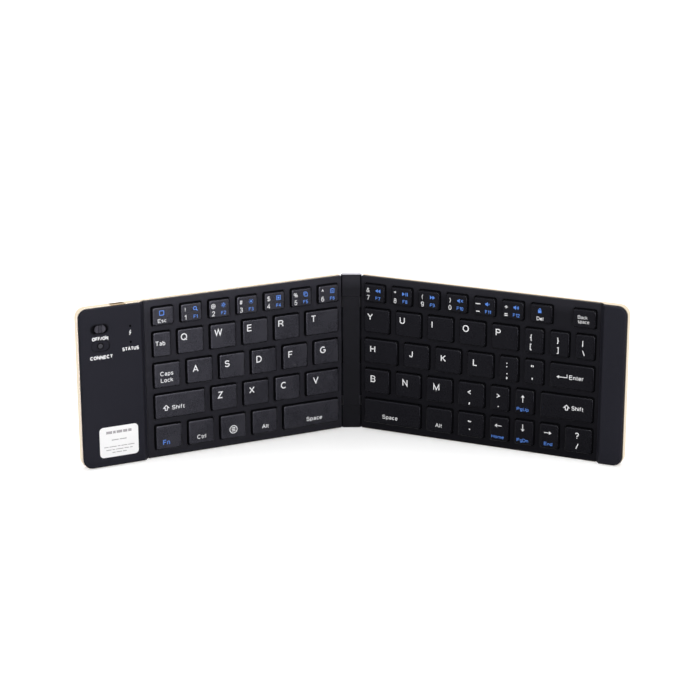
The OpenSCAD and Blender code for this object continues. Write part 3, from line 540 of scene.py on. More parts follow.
def addCap(mesh, side, row, low, high):
    rim = mesh.verts.layers.float.get("rim") or mesh.verts.layers.float.new("rim")
    bottom, top = rowSpan[row]
    width, height, middle, level = high - low, top - bottom, (low + high) / 2, (bottom + top) / 2

    def ring(inset, out, edgeWearAndSheen):
        made = []
        for x, y in roundedRing(width, height, cap["corner"], inset):
            corner = mesh.verts.new(onHalf(side, middle + side * x, level + y, out))
            corner[rim] = edgeWearAndSheen
            made.append(corner)
        return made

    last = ring(*cap["edge"][0], 0)
    first = last
    for count, (inset, out) in enumerate(cap["edge"][1:], 1):
        here = ring(inset, out, cap["wear"][count])
        bridge(mesh, last, here, 0 if count >= cap["shade"] else 1)
        last = here
    inner = ring(cap["crown"], cap["top"], 0)
    bridge(mesh, last, inner)
    mesh.faces.new(inner)
    rimIn = ring(cap["wall"], cap["skirt"], 0)
    bridge(mesh, rimIn, first, 1)
    roof = ring(cap["wall"], cap["top"] - cap["roof"], 0)
    bridge(mesh, roof, rimIn, 1)
    mesh.faces.new(list(reversed(roof))).material_index = 1


# Printed marks are drawn as bands: a glyph is its width and its centre lines at cap height 1
# A point is (x, y), an arc is (cx, cy, rx, ry, from, to) in degrees
mark = {"lift": 0.03, "weight": 0.145, "fine": 0.12, "space": 0.13, "letter": 3.85, "digit": 2.8,
        "shifted": 2.55, "word": 2.45, "small": 1.95, "arcStep": 18, "nearest": 0.004, "mitre": 0.35}
roundO = [(0.25, 0.35, 0.25, 0.35, 0, 360)]
comma = [(0.02, 0.14), (0.02, -0.02), (-0.05, -0.22)]
curveS = [(0.34, 0.745, 0.3, 0.255, 20, 250), (0.34, 0.265, 0.34, 0.265, 70, -160)]
glyphs = {
    "A": (0.8, [(0, 0), (0.4, 1), (0.8, 0)], [(0.13, 0.33), (0.67, 0.33)]),
    "B": (0.66, [(0, 0.53), (0, 1), (0.4, 1), (0.4, 0.765, 0.23, 0.235, 90, -90), (0, 0.53)],
          [(0, 0.53), (0.4, 0.53), (0.4, 0.265, 0.27, 0.265, 90, -90), (0, 0), (0, 0.53)]),
    "C": (0.78, [(0.42, 0.5, 0.42, 0.5, 45, 315)]),
    "D": (0.74, [(0, 0.5), (0, 1), (0.3, 1), (0.3, 0.5, 0.44, 0.5, 90, -90), (0, 0), (0, 0.5)]),
    "E": (0.64, [(0.64, 1), (0, 1), (0, 0), (0.66, 0)], [(0, 0.53), (0.6, 0.53)]),
    "F": (0.58, [(0.6, 1), (0, 1), (0, 0)], [(0, 0.52), (0.52, 0.52)]),
    "G": (0.82, [(0.42, 0.5, 0.42, 0.5, 48, 318), (0.8, 0.22), (0.8, 0.47), (0.46, 0.47)]),
    "H": (0.7, [(0, 0), (0, 1)], [(0.7, 0), (0.7, 1)], [(0, 0.53), (0.7, 0.53)]),
    "I": (0, [(0, 0), (0, 1)]),
    "J": (0.46, [(0.46, 1), (0.46, 0.27), (0.23, 0.27, 0.23, 0.27, 0, -180)]),
    "K": (0.7, [(0, 0), (0, 1)], [(0.66, 1), (0, 0.36)], [(0.22, 0.57), (0.7, 0)]),
    "L": (0.54, [(0, 1), (0, 0), (0.56, 0)]),
    "M": (0.86, [(0, 0), (0, 1), (0.43, 0.04), (0.86, 1), (0.86, 0)]),
    "N": (0.7, [(0, 0), (0, 1), (0.7, 0), (0.7, 1)]),
    "O": (0.86, [(0.43, 0.5, 0.43, 0.5, 0, 360)]),
    "P": (0.66, [(0, 0), (0, 1), (0.4, 1), (0.4, 0.735, 0.26, 0.265, 90, -90), (0, 0.47)]),
    "Q": (0.86, [(0.43, 0.5, 0.43, 0.5, 0, 360)], [(0.54, 0.24), (0.86, -0.08)]),
    "R": (0.72, [(0, 0), (0, 1), (0.43, 1), (0.43, 0.745, 0.25, 0.255, 90, -90), (0, 0.49)],
          [(0.36, 0.49), (0.52, 0.38), (0.75, 0)]),
    "S": (0.68, curveS),
    "T": (0.72, [(0, 1), (0.72, 1)], [(0.36, 1), (0.36, 0)]),
    "U": (0.7, [(0, 1), (0, 0.34), (0.35, 0.34, 0.35, 0.34, 180, 360), (0.7, 1)]),
    "V": (0.78, [(0, 1), (0.39, 0), (0.78, 1)]),
    "W": (1.12, [(0, 1), (0.27, 0), (0.56, 0.94), (0.85, 0), (1.12, 1)]),
    "X": (0.74, [(0, 1), (0.74, 0)], [(0, 0), (0.74, 1)]),
    "Y": (0.78, [(0, 1), (0.39, 0.46), (0.78, 1)], [(0.39, 0.46), (0.39, 0)]),
    "Z": (0.68, [(0.02, 1), (0.66, 1), (0, 0), (0.68, 0)]),
    "a": (0.5, [(0.25, 0.48, 0.21, 0.22, 155, 0), (0.46, 0.1), (0.52, 0)], [(0.23, 0.2, 0.21, 0.19, 0, 360)]),
    "b": (0.5, [(0, 1), (0, 0)], roundO), "c": (0.44, [(0.25, 0.35, 0.25, 0.35, 48, 312)]),
    "d": (0.5, [(0.5, 1), (0.5, 0)], roundO),
    "e": (0.5, [(0.02, 0.37), (0.5, 0.37), (0.25, 0.35, 0.25, 0.35, 8, 318)]),
    "f": (0.3, [(0.34, 1), (0.3, 0.83, 0.17, 0.17, 90, 180), (0.13, 0)], [(0, 0.68), (0.3, 0.68)]),
    "g": (0.5, [(0.25, 0.36, 0.25, 0.34, 0, 360)],
          [(0.5, 0.7), (0.5, -0.05), (0.25, -0.05, 0.25, 0.22, 0, -155)]),
    "h": (0.48, [(0, 0), (0, 1)], [(0, 0.42), (0.24, 0.44, 0.24, 0.26, 180, 0), (0.48, 0)]),
    "i": (0, [(0, 0), (0, 0.7)], [(0, 0.92), (0, 1)]),
    "k": (0.46, [(0, 0), (0, 1)], [(0.42, 0.7), (0, 0.26)], [(0.17, 0.43), (0.46, 0)]),
    "l": (0, [(0, 0), (0, 1)]),
    "m": (0.82, [(0, 0), (0, 0.7)], [(0, 0.44), (0.205, 0.48, 0.205, 0.22, 180, 0), (0.41, 0)],
          [(0.41, 0.44), (0.615, 0.48, 0.205, 0.22, 180, 0), (0.82, 0)]),
    "n": (0.46, [(0, 0), (0, 0.7)], [(0, 0.42), (0.23, 0.45, 0.23, 0.25, 180, 0), (0.46, 0)]),
    "o": (0.5, roundO), "p": (0.5, [(0, 0.7), (0, -0.27)], roundO),
    "r": (0.26, [(0, 0), (0, 0.7)], [(0, 0.4), (0.24, 0.44, 0.24, 0.26, 180, 90), (0.29, 0.7)]),
    "s": (0.42, [(0.21, 0.53, 0.19, 0.17, 20, 250), (0.21, 0.17, 0.21, 0.17, 70, -160)]),
    "t": (0.26, [(0.12, 0.92), (0.12, 0.13), (0.25, 0.13, 0.13, 0.13, 180, 270), (0.29, 0)],
          [(0, 0.68), (0.28, 0.68)]),
    "0": (0.52, [(0.26, 0.5, 0.26, 0.5, 0, 360)]), "1": (0.3, [(0.02, 0.72), (0.3, 0.98), (0.3, 0)]),
    "2": (0.54, [(0.27, 0.72, 0.25, 0.28, 170, -30), (0.01, 0), (0.55, 0)]),
    "3": (0.52, [(0.25, 0.755, 0.22, 0.245, 150, -80), (0.2, 0.52), (0.25, 0.265, 0.27, 0.265, 85, -155)]),
    "4": (0.58, [(0.42, 0), (0.42, 1), (0, 0.3), (0.58, 0.3)]),
    "5": (0.53, [(0.5, 1), (0.11, 1), (0.04, 0.5), (0.25, 0.32, 0.27, 0.32, 120, -150)]),
    "6": (0.53, [(0.27, 0.31, 0.26, 0.31, 0, 360)], [(0.29, 0.6, 0.28, 0.4, 48, 180), (0.01, 0.32)]),
    "7": (0.54, [(0, 1), (0.54, 1), (0.2, 0)]),
    "8": (0.52, [(0.26, 0.755, 0.215, 0.245, 0, 360)], [(0.26, 0.255, 0.26, 0.255, 0, 360)]),
    "9": (0.52, [(0.26, 0.69, 0.26, 0.31, 0, 360)], [(0.52, 0.68), (0.24, 0.4, 0.28, 0.4, 0, -132)]),
    "!": (0, [(0, 1), (0, 0.3)], [(0, 0.08), (0, 0)]), "/": (0.38, [(0, -0.02), (0.38, 1.02)]),
    "\\": (0.38, [(0, 1.02), (0.38, -0.02)]),
    "(": (0.24, [(0.55, 0.4, 0.52, 0.75, 128, 232)]), ")": (0.24, [(-0.3, 0.4, 0.52, 0.75, 52, -52)]),
    "[": (0.24, [(0.26, 1.05), (0, 1.05), (0, -0.2), (0.26, -0.2)]),
    "]": (0.24, [(0, 1.05), (0.26, 1.05), (0.26, -0.2), (0, -0.2)]),
    "{": (0.28, [(0.3, 1.05), (0.15, 1), (0.15, 0.52), (0, 0.42), (0.15, 0.32), (0.15, -0.15), (0.3, -0.2)]),
    "}": (0.28, [(0, 1.05), (0.15, 1), (0.15, 0.52), (0.3, 0.42), (0.15, 0.32), (0.15, -0.15), (0, -0.2)]),
    "|": (0, [(0, 1.05), (0, -0.2)]), ":": (0, [(0, 0.56), (0, 0.72)], [(0, 0), (0, 0.16)]),
    ";": (0.02, [(0.02, 0.56), (0.02, 0.72)], comma),
    "\"": (0.24, [(0, 1), (0, 0.7)], [(0.24, 1), (0.24, 0.7)]), "'": (0, [(0, 1), (0, 0.7)]),
    ",": (0.02, comma), ".": (0, [(0, 0), (0, 0.16)]),
    "<": (0.52, [(0.52, 0.82), (0, 0.46), (0.52, 0.1)]), ">": (0.52, [(0, 0.82), (0.52, 0.46), (0, 0.1)]),
    "?": (0.5, [(0.25, 0.74, 0.24, 0.26, 165, -42), (0.26, 0.42), (0.26, 0.28)], [(0.26, 0.09), (0.26, 0)]),
    "~": (0.52, [(0, 0.42), (0.15, 0.53), (0.37, 0.41), (0.52, 0.52)]), "`": (0.14, [(0, 1), (0.14, 0.8)]),
    "+": (0.56, [(0.28, 0.16), (0.28, 0.74)], [(0, 0.45), (0.56, 0.45)]),
    "=": (0.54, [(0, 0.6), (0.54, 0.6)], [(0, 0.28), (0.54, 0.28)]),
    "-": (0.62, [(0, 0.42), (0.62, 0.42)]), "_": (0.9, [(0, 0.42), (0.9, 0.42)]),
    "^": (0.46, [(0, 0.5), (0.23, 1), (0.46, 0.5)]),
    "*": (0.44, [(0.22, 1.02), (0.22, 0.54)], [(0.01, 0.9), (0.43, 0.66)], [(0.01, 0.66), (0.43, 0.9)]),
    "#": (0.66, [(0.14, 0), (0.26, 1)], [(0.4, 0), (0.52, 1)], [(0.02, 0.67), (0.66, 0.67)],
          [(0, 0.33), (0.64, 0.33)]),
    "$": (0.66, curveS, [(0.34, 1.14), (0.34, -0.14)]),
    "%": (0.9, [(0.17, 0.75, 0.17, 0.25, 0, 360)], [(0.73, 0.25, 0.17, 0.25, 0, 360)],
          [(0.63, 1), (0.27, 0)]),
    "&": (0.72, [(0.72, 0), (0.21, 0.62), (0.33, 0.81, 0.16, 0.19, 195, -50), (0.12, 0.42),
                 (0.25, 0.25, 0.25, 0.25, 140, 322), (0.68, 0.46)]),
    "@": (0.96, [(0.48, 0.42, 0.48, 0.56, -40, 300)], [(0.46, 0.42, 0.18, 0.22, 0, 360)],
          [(0.68, 0.62), (0.65, 0.26), (0.86, 0.24)]),
}


def strokePoints(stroke):             # arcs become short runs of points
    points = []
    for item in stroke:
        if len(item) == 2:
            points.append(item)
        else:
            cx, cy, rx, ry, start, end = item
            steps = max(3, round(abs(end - start) / mark["arcStep"]))
            points += [(cx + rx * math.cos(math.radians(start + (end - start) * i / steps)),
                        cy + ry * math.sin(math.radians(start + (end - start) * i / steps)))
                        for i in range(steps + 1)]
    whole = len(stroke) == 1 and len(stroke[0]) == 6 and abs(stroke[0][5] - stroke[0][4]) == 360
    if whole:
        points.pop()
    kept = [points[0]]
    for point in points[1:]:
        if math.dist(point, kept[-1]) > mark["nearest"]:
            kept.append(point)
    return kept, whole


class Print:                          # flat ink on one face of a half
    def __init__(self, side, out):
        self.side, self.out, self.mesh = side, out + mark["lift"], bmesh.new()
        self.place(0, 0, 0)

    def place(self, across, up, ink, size=1.0):
        self.across, self.up, self.ink, self.size = across, up, ink, size
        return self

    def corner(self, x, y):
        return self.mesh.verts.new(onHalf(self.side, self.across + self.side * x * self.size,
                                          self.up + y * self.size, self.out))

    def plate(self, *points):         # a filled outline, anticlockwise
        self.mesh.faces.new([self.corner(*p) for p in points]).material_index = self.ink

    def line(self, points, width, closed=False):      # a band of even width with mitred corners
        count, edges = len(points), []
        for i, (x, y) in enumerate(points):
            ways = []
            for j, k in ((i - 1, i), (i, i + 1)):
                if closed or (j >= 0 and k < count):
                    (ax, ay), (bx, by) = points[j % count], points[k % count]
                    long = math.hypot(bx - ax, by - ay)
                    ways.append(((bx - ax) / long, (by - ay) / long))
            wx, wy = sum(w[0] for w in ways), sum(w[1] for w in ways)
            long = math.hypot(wx, wy)
            wx, wy = wx / long, wy / long
            spread = width / 2 / max(mark["mitre"], wx * ways[0][0] + wy * ways[0][1])
            edges.append((self.corner(x + wy * spread, y - wx * spread),
                          self.corner(x - wy * spread, y + wx * spread)))
        for i in range(count if closed else count - 1):
            (a, b), (c, d) = edges[i], edges[(i + 1) % count]
            self.mesh.faces.new((a, c, d, b)).material_index = self.ink

    def ring(self, x, y, radius, width, start=0, sweep=360, steps=24):
        whole = sweep == 360
        turns = [math.radians(start + sweep * i / steps) for i in range(steps if whole else steps + 1)]
        self.line([(x + radius * math.cos(a), y + radius * math.sin(a)) for a in turns], width, whole)

    def disc(self, x, y, radius, steps=20):
        turns = [2 * math.pi * i / steps for i in range(steps)]
        self.plate(*[(x + radius * math.cos(a), y + radius * math.sin(a)) for a in turns])

    def word(self, text, height, width=None, weight=None):    # centred on its place, letters spaced evenly
        weight = weight or mark["fine" if len(text) == 1 and height < 3 else "weight"]
        space = mark["space"] + weight
        full = sum(glyphs[letter][0] + space for letter in text) - space
        stretch = (width / height - weight) / full if width else 1 - weight * 0.5
        pen = -full / 2
        for letter in text:
            wide, *lines = glyphs[letter]
            for line in lines:
                points, whole = strokePoints(line)
                self.line([((pen + x) * stretch * height, (y - 0.5) * (1 - weight) * height) for x,
                           y in points], weight * height, whole)
            pen += wide + space


white, blue = 0, 1


# Signs, each drawn about its own middle in millimetres
def pageSign(p):
    p.line([(-1.0, -1.2), (1.0, -1.2), (1.2, -1.0), (1.2, 1.0), (1.0, 1.2), (-1.0, 1.2), (-1.2, 1.0),
            (-1.2, -1.0)], 0.42, True)


def findSign(p):
    p.ring(-0.3, 0.35, 0.95, 0.42)
    p.line([(0.45, -0.4), (1.3, -1.25)], 0.55)


def sunSign(core, hollow):
    def draw(p):
        if hollow:
            p.ring(0, 0, core, 0.35)
        else:
            p.disc(0, 0, core)
        for i in range(8):
            a = math.radians(45 * i)
            p.line([(math.cos(a) * r, math.sin(a) * r) for r in (core + 0.42, core + 0.8)], 0.36)
    return draw


def allSign(p):
    p.line([(-1.2, -1.2), (1.2, -1.2), (1.2, 1.2), (-1.2, 1.2)], 0.35, True)
    p.plate((-0.6, -0.6), (0.6, -0.6), (0.6, 0.6), (-0.6, 0.6))


def copySign(p):
    p.line([(-0.45, -1.3), (1.2, -1.3), (1.2, 0.6), (-0.45, 0.6)], 0.34, True)
    p.line([(-0.7, -0.5), (-1.15, -0.5), (-1.15, 1.3), (0.45, 1.3), (0.45, 0.9)], 0.34)


def pasteSign(p):
    p.line([(-1.1, -1.3), (1.1, -1.3), (1.1, 1.0), (-1.1, 1.0)], 0.34, True)
    p.plate((-0.5, 0.85), (0.5, 0.85), (0.5, 1.45), (-0.5, 1.45))
    for y in (-0.65, 0.0):
        p.line([(-0.55, y), (0.55, y)], 0.26)


def backSign(p):
    for x in (-1.35, 0.0):
        p.plate((x, 0), (x + 1.3, -0.95), (x + 1.3, 0.95))


def nextSign(p):
    for x in (-1.3, 0.05):
        p.plate((x, -0.95), (x + 1.3, 0), (x, 0.95))


def playSign(p):
    p.plate((-1.5, -0.95), (-0.15, 0), (-1.5, 0.95))
    for x in (0.3, 1.1):
        p.plate((x, -0.9), (x + 0.4, -0.9), (x + 0.4, 0.9), (x, 0.9))


def soundSign(waves, crossed=False):
    def draw(p):
        p.plate((-1.5, -0.42), (-1.0, -0.42), (-0.2, -1.1), (-0.2, 1.1), (-1.0, 0.42), (-1.5, 0.42))
        for i in range(waves):
            p.ring(-0.2, 0, 0.65 + 0.62 * i, 0.3, -42, 84, 8)
        if crossed:
            p.line([(0.3, -0.6), (1.5, 0.6)], 0.3)
            p.line([(0.3, 0.6), (1.5, -0.6)], 0.3)
    return draw


def lockSign(p):
    p.plate((-0.95, -1.3), (0.95, -1.3), (0.95, 0.15), (-0.95, 0.15))
    p.line([(-0.55, 0.15), (-0.55, 0.6), (-0.42, 0.95), (0, 1.15), (0.42, 0.95), (0.55, 0.6), (0.55, 0.15)],
           0.34)


def shiftSign(p):
    p.line([(-0.62, -1.35), (0.62, -1.35), (0.62, 0.0), (1.5, 0.0), (0, 1.45), (-1.5, 0.0), (-0.62, 0.0)],
           0.42, True)


def arrowSign(angle):
    a = math.radians(angle)

    def turn(x, y):
        return x * math.cos(a) - y * math.sin(a), x * math.sin(a) + y * math.cos(a)

    def draw(p):
        p.line([turn(-2.1, 0), turn(1.3, 0)], 0.4)
        p.plate(turn(0.75, -1.05), turn(2.15, 0), turn(0.75, 1.05))
    return draw


def enterSign(p):
    p.line([(-1.9, -0.6), (2.9, -0.6), (2.9, 1.2)], 0.4)
    p.plate((-3.1, -0.6), (-1.7, -1.5), (-1.7, 0.3))


def menuSign(p):
    p.ring(0, 0, 2.15, 0.46, steps=32)
    for y in (-0.9, 0.0, 0.9):
        p.line([(-1.1, y), (1.1, y)], 0.5)


def boltSign(p):
    p.line([(0.42, 1.3), (-0.3, 0.12), (0.34, -0.02), (-0.34, -1.3)], 0.42)


# Every key node: its keys as (row, low, high) and its marks as (what, across, up, ink, size, width, weight)
def big(text, across, up):
    return (text, across, up, white, mark["letter"])


def plain(text, across, up, height=None, width=None, ink=white, weight=None):
    return (text, across, up, ink, height or mark["word"], width, weight)


def sign(drawing, across, up, ink=blue, size=1.0):
    return (drawing, across, up, ink, size)


numberRow = {"row": 4, "low": 4.4, "pitch": 16.3168, "width": 12.3, "near": 2.5, "far": 8.4,
             "shiftedUp": 82.45, "digitUp": 78.15, "functionUp": 78.1, "larger": 1.3,
             "sign": {left: 0.93, right: 1.12}}


def numberKey(side, place, shifted, digit, drawing, function):    # a top-row key with four marks
    low = numberRow["low"] + place * numberRow["pitch"]
    high = low + numberRow["width"]
    edge = high if side == left else low
    near, far = edge + side * numberRow["near"], edge + side * numberRow["far"]
    larger = numberRow["larger"] if shifted in "_+" else 1
    return (numberRow["row"], low, high), [
        (shifted, near, numberRow["shiftedUp"], white, mark["shifted"] * larger),
        (digit, near, numberRow["digitUp"], white, mark["digit"] * larger),
        sign(drawing, far, numberRow["shiftedUp"], size=numberRow["sign"][side]),
        (function, far, numberRow["functionUp"], blue, mark["small"])]


def numberKeys(side, rows):
    made = [numberKey(side, *row) for row in rows]
    return [m[0] for m in made], [item for m in made for item in m[1]]


keySets = {
    "key_space_left": ([(0, 4.4, 38.6)], [plain("Space", 19.95, 9.25, None, 9.7)]),
    "key_alt_left": ([(0, 42.4, 57.6)], [plain("Alt", 49.9, 9.05)]),
    "key_menu": ([(0, 61.4, 76.6)], [sign(menuSign, 69.1, 10.1, white)]),
    "key_ctrl": ([(0, 80.4, 95.6)], [plain("Ctrl", 88.1, 8.95)]),
    "key_fn": ([(0, 99.4, 114.6)], [plain("Fn", 108.7, 8.8, 2.9, None, blue)]),
    "key_shift_left": ([(1, 85.3, 114.6)], [sign(shiftSign, 108.3, 28.5, white),
                                            plain("Shift", 101.3, 28.3, None, 7.4)]),
    "key_caps_lock": ([(2, 99.4, 114.6)], [plain("Caps", 107.4, 48.15, 2.45, 7.5),
                                           plain("Lock", 107.4, 44.4, 2.45, 7.1)]),
    "key_tab": ([(3, 104.3, 114.6)], [plain("Tab", 110.6, 65.5, 2.65, 5.7)]),
    "key_esc": ([(4, 102.302, 114.602)], [sign(pageSign, 109.3, 82.45),
                                          plain("Esc", 109.15, 78.1, 2.1, 4.9)]),
    "keys_zxcv": ([(1, 66.3, 81.5), (1, 47.3, 62.5), (1, 28.3, 43.5), (1, 4.4, 24.5)],
                  [big("Z", 76.5, 31.3), big("X", 57.7, 31.4), big("C", 38.5, 31.4), big("V", 18.8, 31.6)]),
    "keys_asdfg": ([(2, 80.4, 95.6), (2, 61.4, 76.6), (2, 42.4, 57.6), (2, 23.4, 38.6), (2, 4.4, 19.6)],
                   [big("A", 90.65, 48.5), big("S", 72.1, 48.7), big("D", 53.1, 48.7), big("F", 34.1, 48.7),
                    big("G", 14.3, 48.7)]),
    "keys_qwert": ([(3, 85.3, 100.5), (3, 66.3, 81.5), (3, 47.3, 62.5), (3, 28.3, 43.5), (3, 4.4, 24.5)],
                   [big("Q", 96.9, 67.5), big("W", 76.9, 67.4), big("E", 58.5, 67.4), big("R", 39.7, 67.4),
                    big("T", 19.9, 67.5)]),
    "keys_1_to_6": numberKeys(left, [
        (0, "^", "6", pasteSign, "F6"), (1, "%", "5", copySign, "F5"), (2, "$", "4", allSign, "F4"),
        (3, "#", "3", sunSign(0.62, False), "F3"), (4, "@", "2", sunSign(0.62, True), "F2"),
        (5, "!", "1", findSign, "F1")]),
    "key_space_right": ([(0, 4.4, 38.6)], [plain("Space", 20.3, 9.25, None, 9.4)]),
    "key_alt_right": ([(0, 42.4, 57.6)], [plain("Alt", 49.85, 8.75)]),
    "key_arrow_left": ([(0, 80.4, 91.07)], [sign(arrowSign(180), 85.3, 13.7, white),
                                            plain("Home", 85.0, 7.2, 1.9, 7.15, blue)]),
    "key_arrow_down": ([(0, 94.87, 105.54)], [sign(arrowSign(270), 99.5, 14.4, white),
                                              plain("PgDn", 99.5, 7.2, 1.9, 6.6, blue)]),
    "key_arrow_right": ([(0, 109.34, 120.01)], [sign(arrowSign(0), 114.0, 13.65, white),
                                                plain("End", 114.4, 7.3, 1.9, 4.8, blue)]),
    "key_arrow_up": ([(1, 94.87, 105.54)], [sign(arrowSign(90), 99.2, 31.2, white),
                                            plain("PgUp", 99.25, 25.2, 1.9, 6.9, blue)]),
    "key_shift_right": ([(1, 109.34, 139.01)], [sign(shiftSign, 124.3, 29.6, white),
                                                plain("Shift", 130.45, 29.7, None, 6.7)]),
    "key_enter": ([(2, 114.24, 139.01)], [sign(enterSign, 121.2, 47.2, white),
                                          plain("Enter", 129.35, 47.0, None, 8.1)]),
    "key_delete": ([(4, 102.302, 114.602)], [sign(lockSign, 107.7, 82.4), plain("Del", 107.9, 78.0, 2.1)]),
    "key_backspace": ([(4, 126.41, 139.01)], [plain("Back", 131.85, 81.5, 1.95, 5.4, white, 0.11),
                                              plain("space", 132.4, 79.1, 1.95, 6.4, white, 0.11)]),
    "keys_bottom_right": (
        [(1, 4.4, 19.6), (1, 23.4, 38.6), (1, 42.4, 57.6), (1, 61.4, 76.6), (1, 80.4, 91.07),
         (0, 61.4, 76.6), (0, 123.81, 139.01)],
        [big("B", 9.9, 30.9), big("N", 29.4, 31.1), big("M", 48.3, 31.1), plain("<", 68.0, 31.0, 3.3),
         plain(",", 68.05, 26.2, 4.2),
         plain(">", 84.9, 31.1, 3.3), plain(".", 85.0, 26.3, 4.0), plain("~", 68.3, 13.9, 4.0),
         plain("`", 68.4, 7.8, 4.0), plain("?", 130.7, 14.3, 3.7), plain("/", 130.9, 8.3, 3.4)]),
    "keys_hjkl": (
        [(2, 4.4, 24.5), (2, 28.3, 43.5), (2, 47.3, 62.5), (2, 66.3, 81.5), (2, 85.3, 95.97),
         (2, 99.77, 110.44)],
        [big("H", 9.7, 48.4), big("J", 32.9, 48.4), big("K", 52.3, 48.4), big("L", 71.0, 48.4),
         plain(":", 89.55, 49.9, 4.2),
         plain(";", 89.7, 43.9, 4.2), plain('"', 104.2, 49.4, 4.0), plain("'", 104.4, 42.3, 4.0)]),
    "keys_yuiop": (
        [(3, 4.4, 19.6), (3, 23.4, 38.6), (3, 42.4, 57.6), (3, 61.4, 76.6), (3, 80.4, 95.6),
         (3, 99.4, 110.07), (3, 113.87, 124.54), (3, 128.34, 139.01)],
        [big("Y", 8.1, 67.1), big("U", 27.55, 67.2), big("I", 45.4, 67.1), big("O", 65.3, 67.2),
         big("P", 84.2, 67.3),
         plain("{", 103.1, 66.95, 3.0), plain("[", 103.1, 61.6, 3.0), plain("}", 118.3, 66.95, 3.0),
         plain("]", 118.3, 61.5, 3.0), plain("|", 132.35, 67.0, 3.0), plain("\\", 132.9, 61.6, 3.0)]),
    "keys_7_to_equals": numberKeys(right, [
        (0, "&", "7", backSign, "F7"), (1, "*", "8", playSign, "F8"), (2, "(", "9", nextSign, "F9"),
        (3, ")", "0", soundSign(0, True), "F10"), (4, "_", "-", soundSign(1), "F11"),
        (5, "+", "=", soundSign(2), "F12")]),
}


def printMark(sheet, what, across, up, ink, size, width=None, weight=None):
    if callable(what):
        what(sheet.place(across, up, ink, size))
    else:
        sheet.place(across, up, ink).word(what, size, width, weight)


# Spring supports below the keys, one set for each key node
support = {
    "base": 0.15, "squeezed": 0.5, "domeSteps": 20, "corner": 0.9, "middle": 0.9, "tilt": 7, "width": 8.2,
    "dome": ((2.2, 0.0), (2.2, 0.26), (2.1, 0.34), (1.9, 0.42), (1.55, 0.95), (1.32, 1.3), (1.2, 1.44),
             (1.05, 1.5)),
    "frames": ((-1, 8.2), (1, 6.4)),
    "bar": ((0, -0.35), (0, 0.35), (0.7, 0.35), (0.7, -0.35)),
}


def addSupport(mesh, side, across, up):
    def spot(x, y, out):
        return mesh.verts.new(onHalf(side, across + side * x, up + y, support["base"] + out))

    rings = []
    turns = [2 * math.pi * i / support["domeSteps"] for i in range(support["domeSteps"])]
    for radius, out in support["dome"]:
        rings.append([spot(radius * math.cos(a), radius * math.sin(a), out) for a in turns])
    for lower, upper in zip(rings, rings[1:]):
        bridge(mesh, lower, upper)
    mesh.faces.new(rings[-1])
    mesh.faces.new(list(reversed(rings[0])))
    # The wide and the narrow scissor frame cross at the middle
    for way, deep in support["frames"]:
        tilt = math.radians(way * support["tilt"])
        loops = []
        for inset, out in support["bar"]:
            loops.append([spot(x * math.cos(tilt), y, support["middle"] + out - x * math.sin(tilt))
                          for x, y in roundedRing(support["width"], deep, support["corner"], inset, 3)])
        for k in range(len(loops)):
            bridge(mesh, loops[k], loops[(k + 1) % len(loops)], 1)


homeBars = {"places": {"keys_asdfg": (31.05, 42.2), "keys_hjkl": (35.9, 42.2)}, "size": (3.2, 0.7, 0.35),
            "edge": ((0, -0.05), (0.03, 0.06), (0.12, 0.12))}
for name, (keys, marks) in keySets.items():
    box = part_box(name)
    side = left if (box[0].x + box[1].x) < 0 else right
    capsMesh = bmesh.new()
    for row, low, high in keys:
        addCap(capsMesh, side, row, low, high)
    if name in homeBars["places"]:    # raised bar that marks the home key
        across, up = homeBars["places"][name]
        rings = [[capsMesh.verts.new(onHalf(side, across + side * x, up + y, cap["top"] + out))
                  for x, y in roundedRing(*homeBars["size"], inset, 3)]
                 for inset, out in homeBars["edge"]]
        for lower, upper in zip(rings, rings[1:]):
            bridge(capsMesh, lower, upper)
        capsMesh.faces.new(rings[-1])
    piece = newPiece("caps_" + name, capsMesh, ("capTop", "capSide"), name)
    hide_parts(name)
    sheet = Print(side, cap["top"])
    for item in marks:
        printMark(sheet, *item)
    newPiece("print_" + name, sheet.mesh, ("whiteInk", "blueInk"), name)
    springs = bmesh.new()
    for row, low, high in keys:
        addSupport(springs, side, (low + high) / 2, sum(rowSpan[row]) / 2)
    piece = newPiece("springs_" + name, springs, ("dome", "scissor"), halfName[side])
    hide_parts("left_key_supports" if side == left else "right_key_supports")
    joint = name.replace("keys_", "").replace("key_", "") + "_press"
    tuple(onHalf(side, 0, 0, support["base"]))
    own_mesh(piece)
print("keys built:", sum(len(keys) for keys, _ in keySets.values()))

knob = {                              # an outline is how far in and how far out it lies
    "across": 144.5, "up": 78.2, "length": 6.4, "height": 4.5, "body": ((0, 3.15), (0, 4.25), (0.12, 4.38)),
    "flangeSize": (11.2, 5.8), "flange": ((0, 2.65), (0, 3.2), (0.05, 3.25)),
    "stemAcross": 143.82, "stemSize": (1.6, 0.8, 0.2), "stem": ((0, 2.15), (0, 2.7)),
    "padIn": 0.1, "padSteps": 15,
    "pad": ((0, 4.3), (0.02, 4.6), (0.1, 4.76), (0.3, 4.83), (0.7, 4.81), (1.2, 4.74)),
    "middleSize": (1.7, 4.0, 0.35), "middle": ((0, 4.3), (0.02, 4.62), (0.12, 4.72)),
    "ribSize": (0.34, 3.4, 0.16), "ribStep": 0.62, "rib": ((0, 4.68), (0.01, 4.88), (0.06, 4.95)),
}
button = {
    "across": 144.42, "up": 68.7, "collarSize": (4.6, 4.6), "collar": ((0, 2.8), (0, 3.25)),
    "size": (3.4, 3.4), "body": ((0, 2.9), (0, 4.08), (0.08, 4.18), (0.3, 4.24)),
    "disc": ((0.36, 4.18), (0.37, 4.3), (0.46, 4.35), (0.8, 4.35), (1.3, 4.31), (1.55, 4.29)),
}


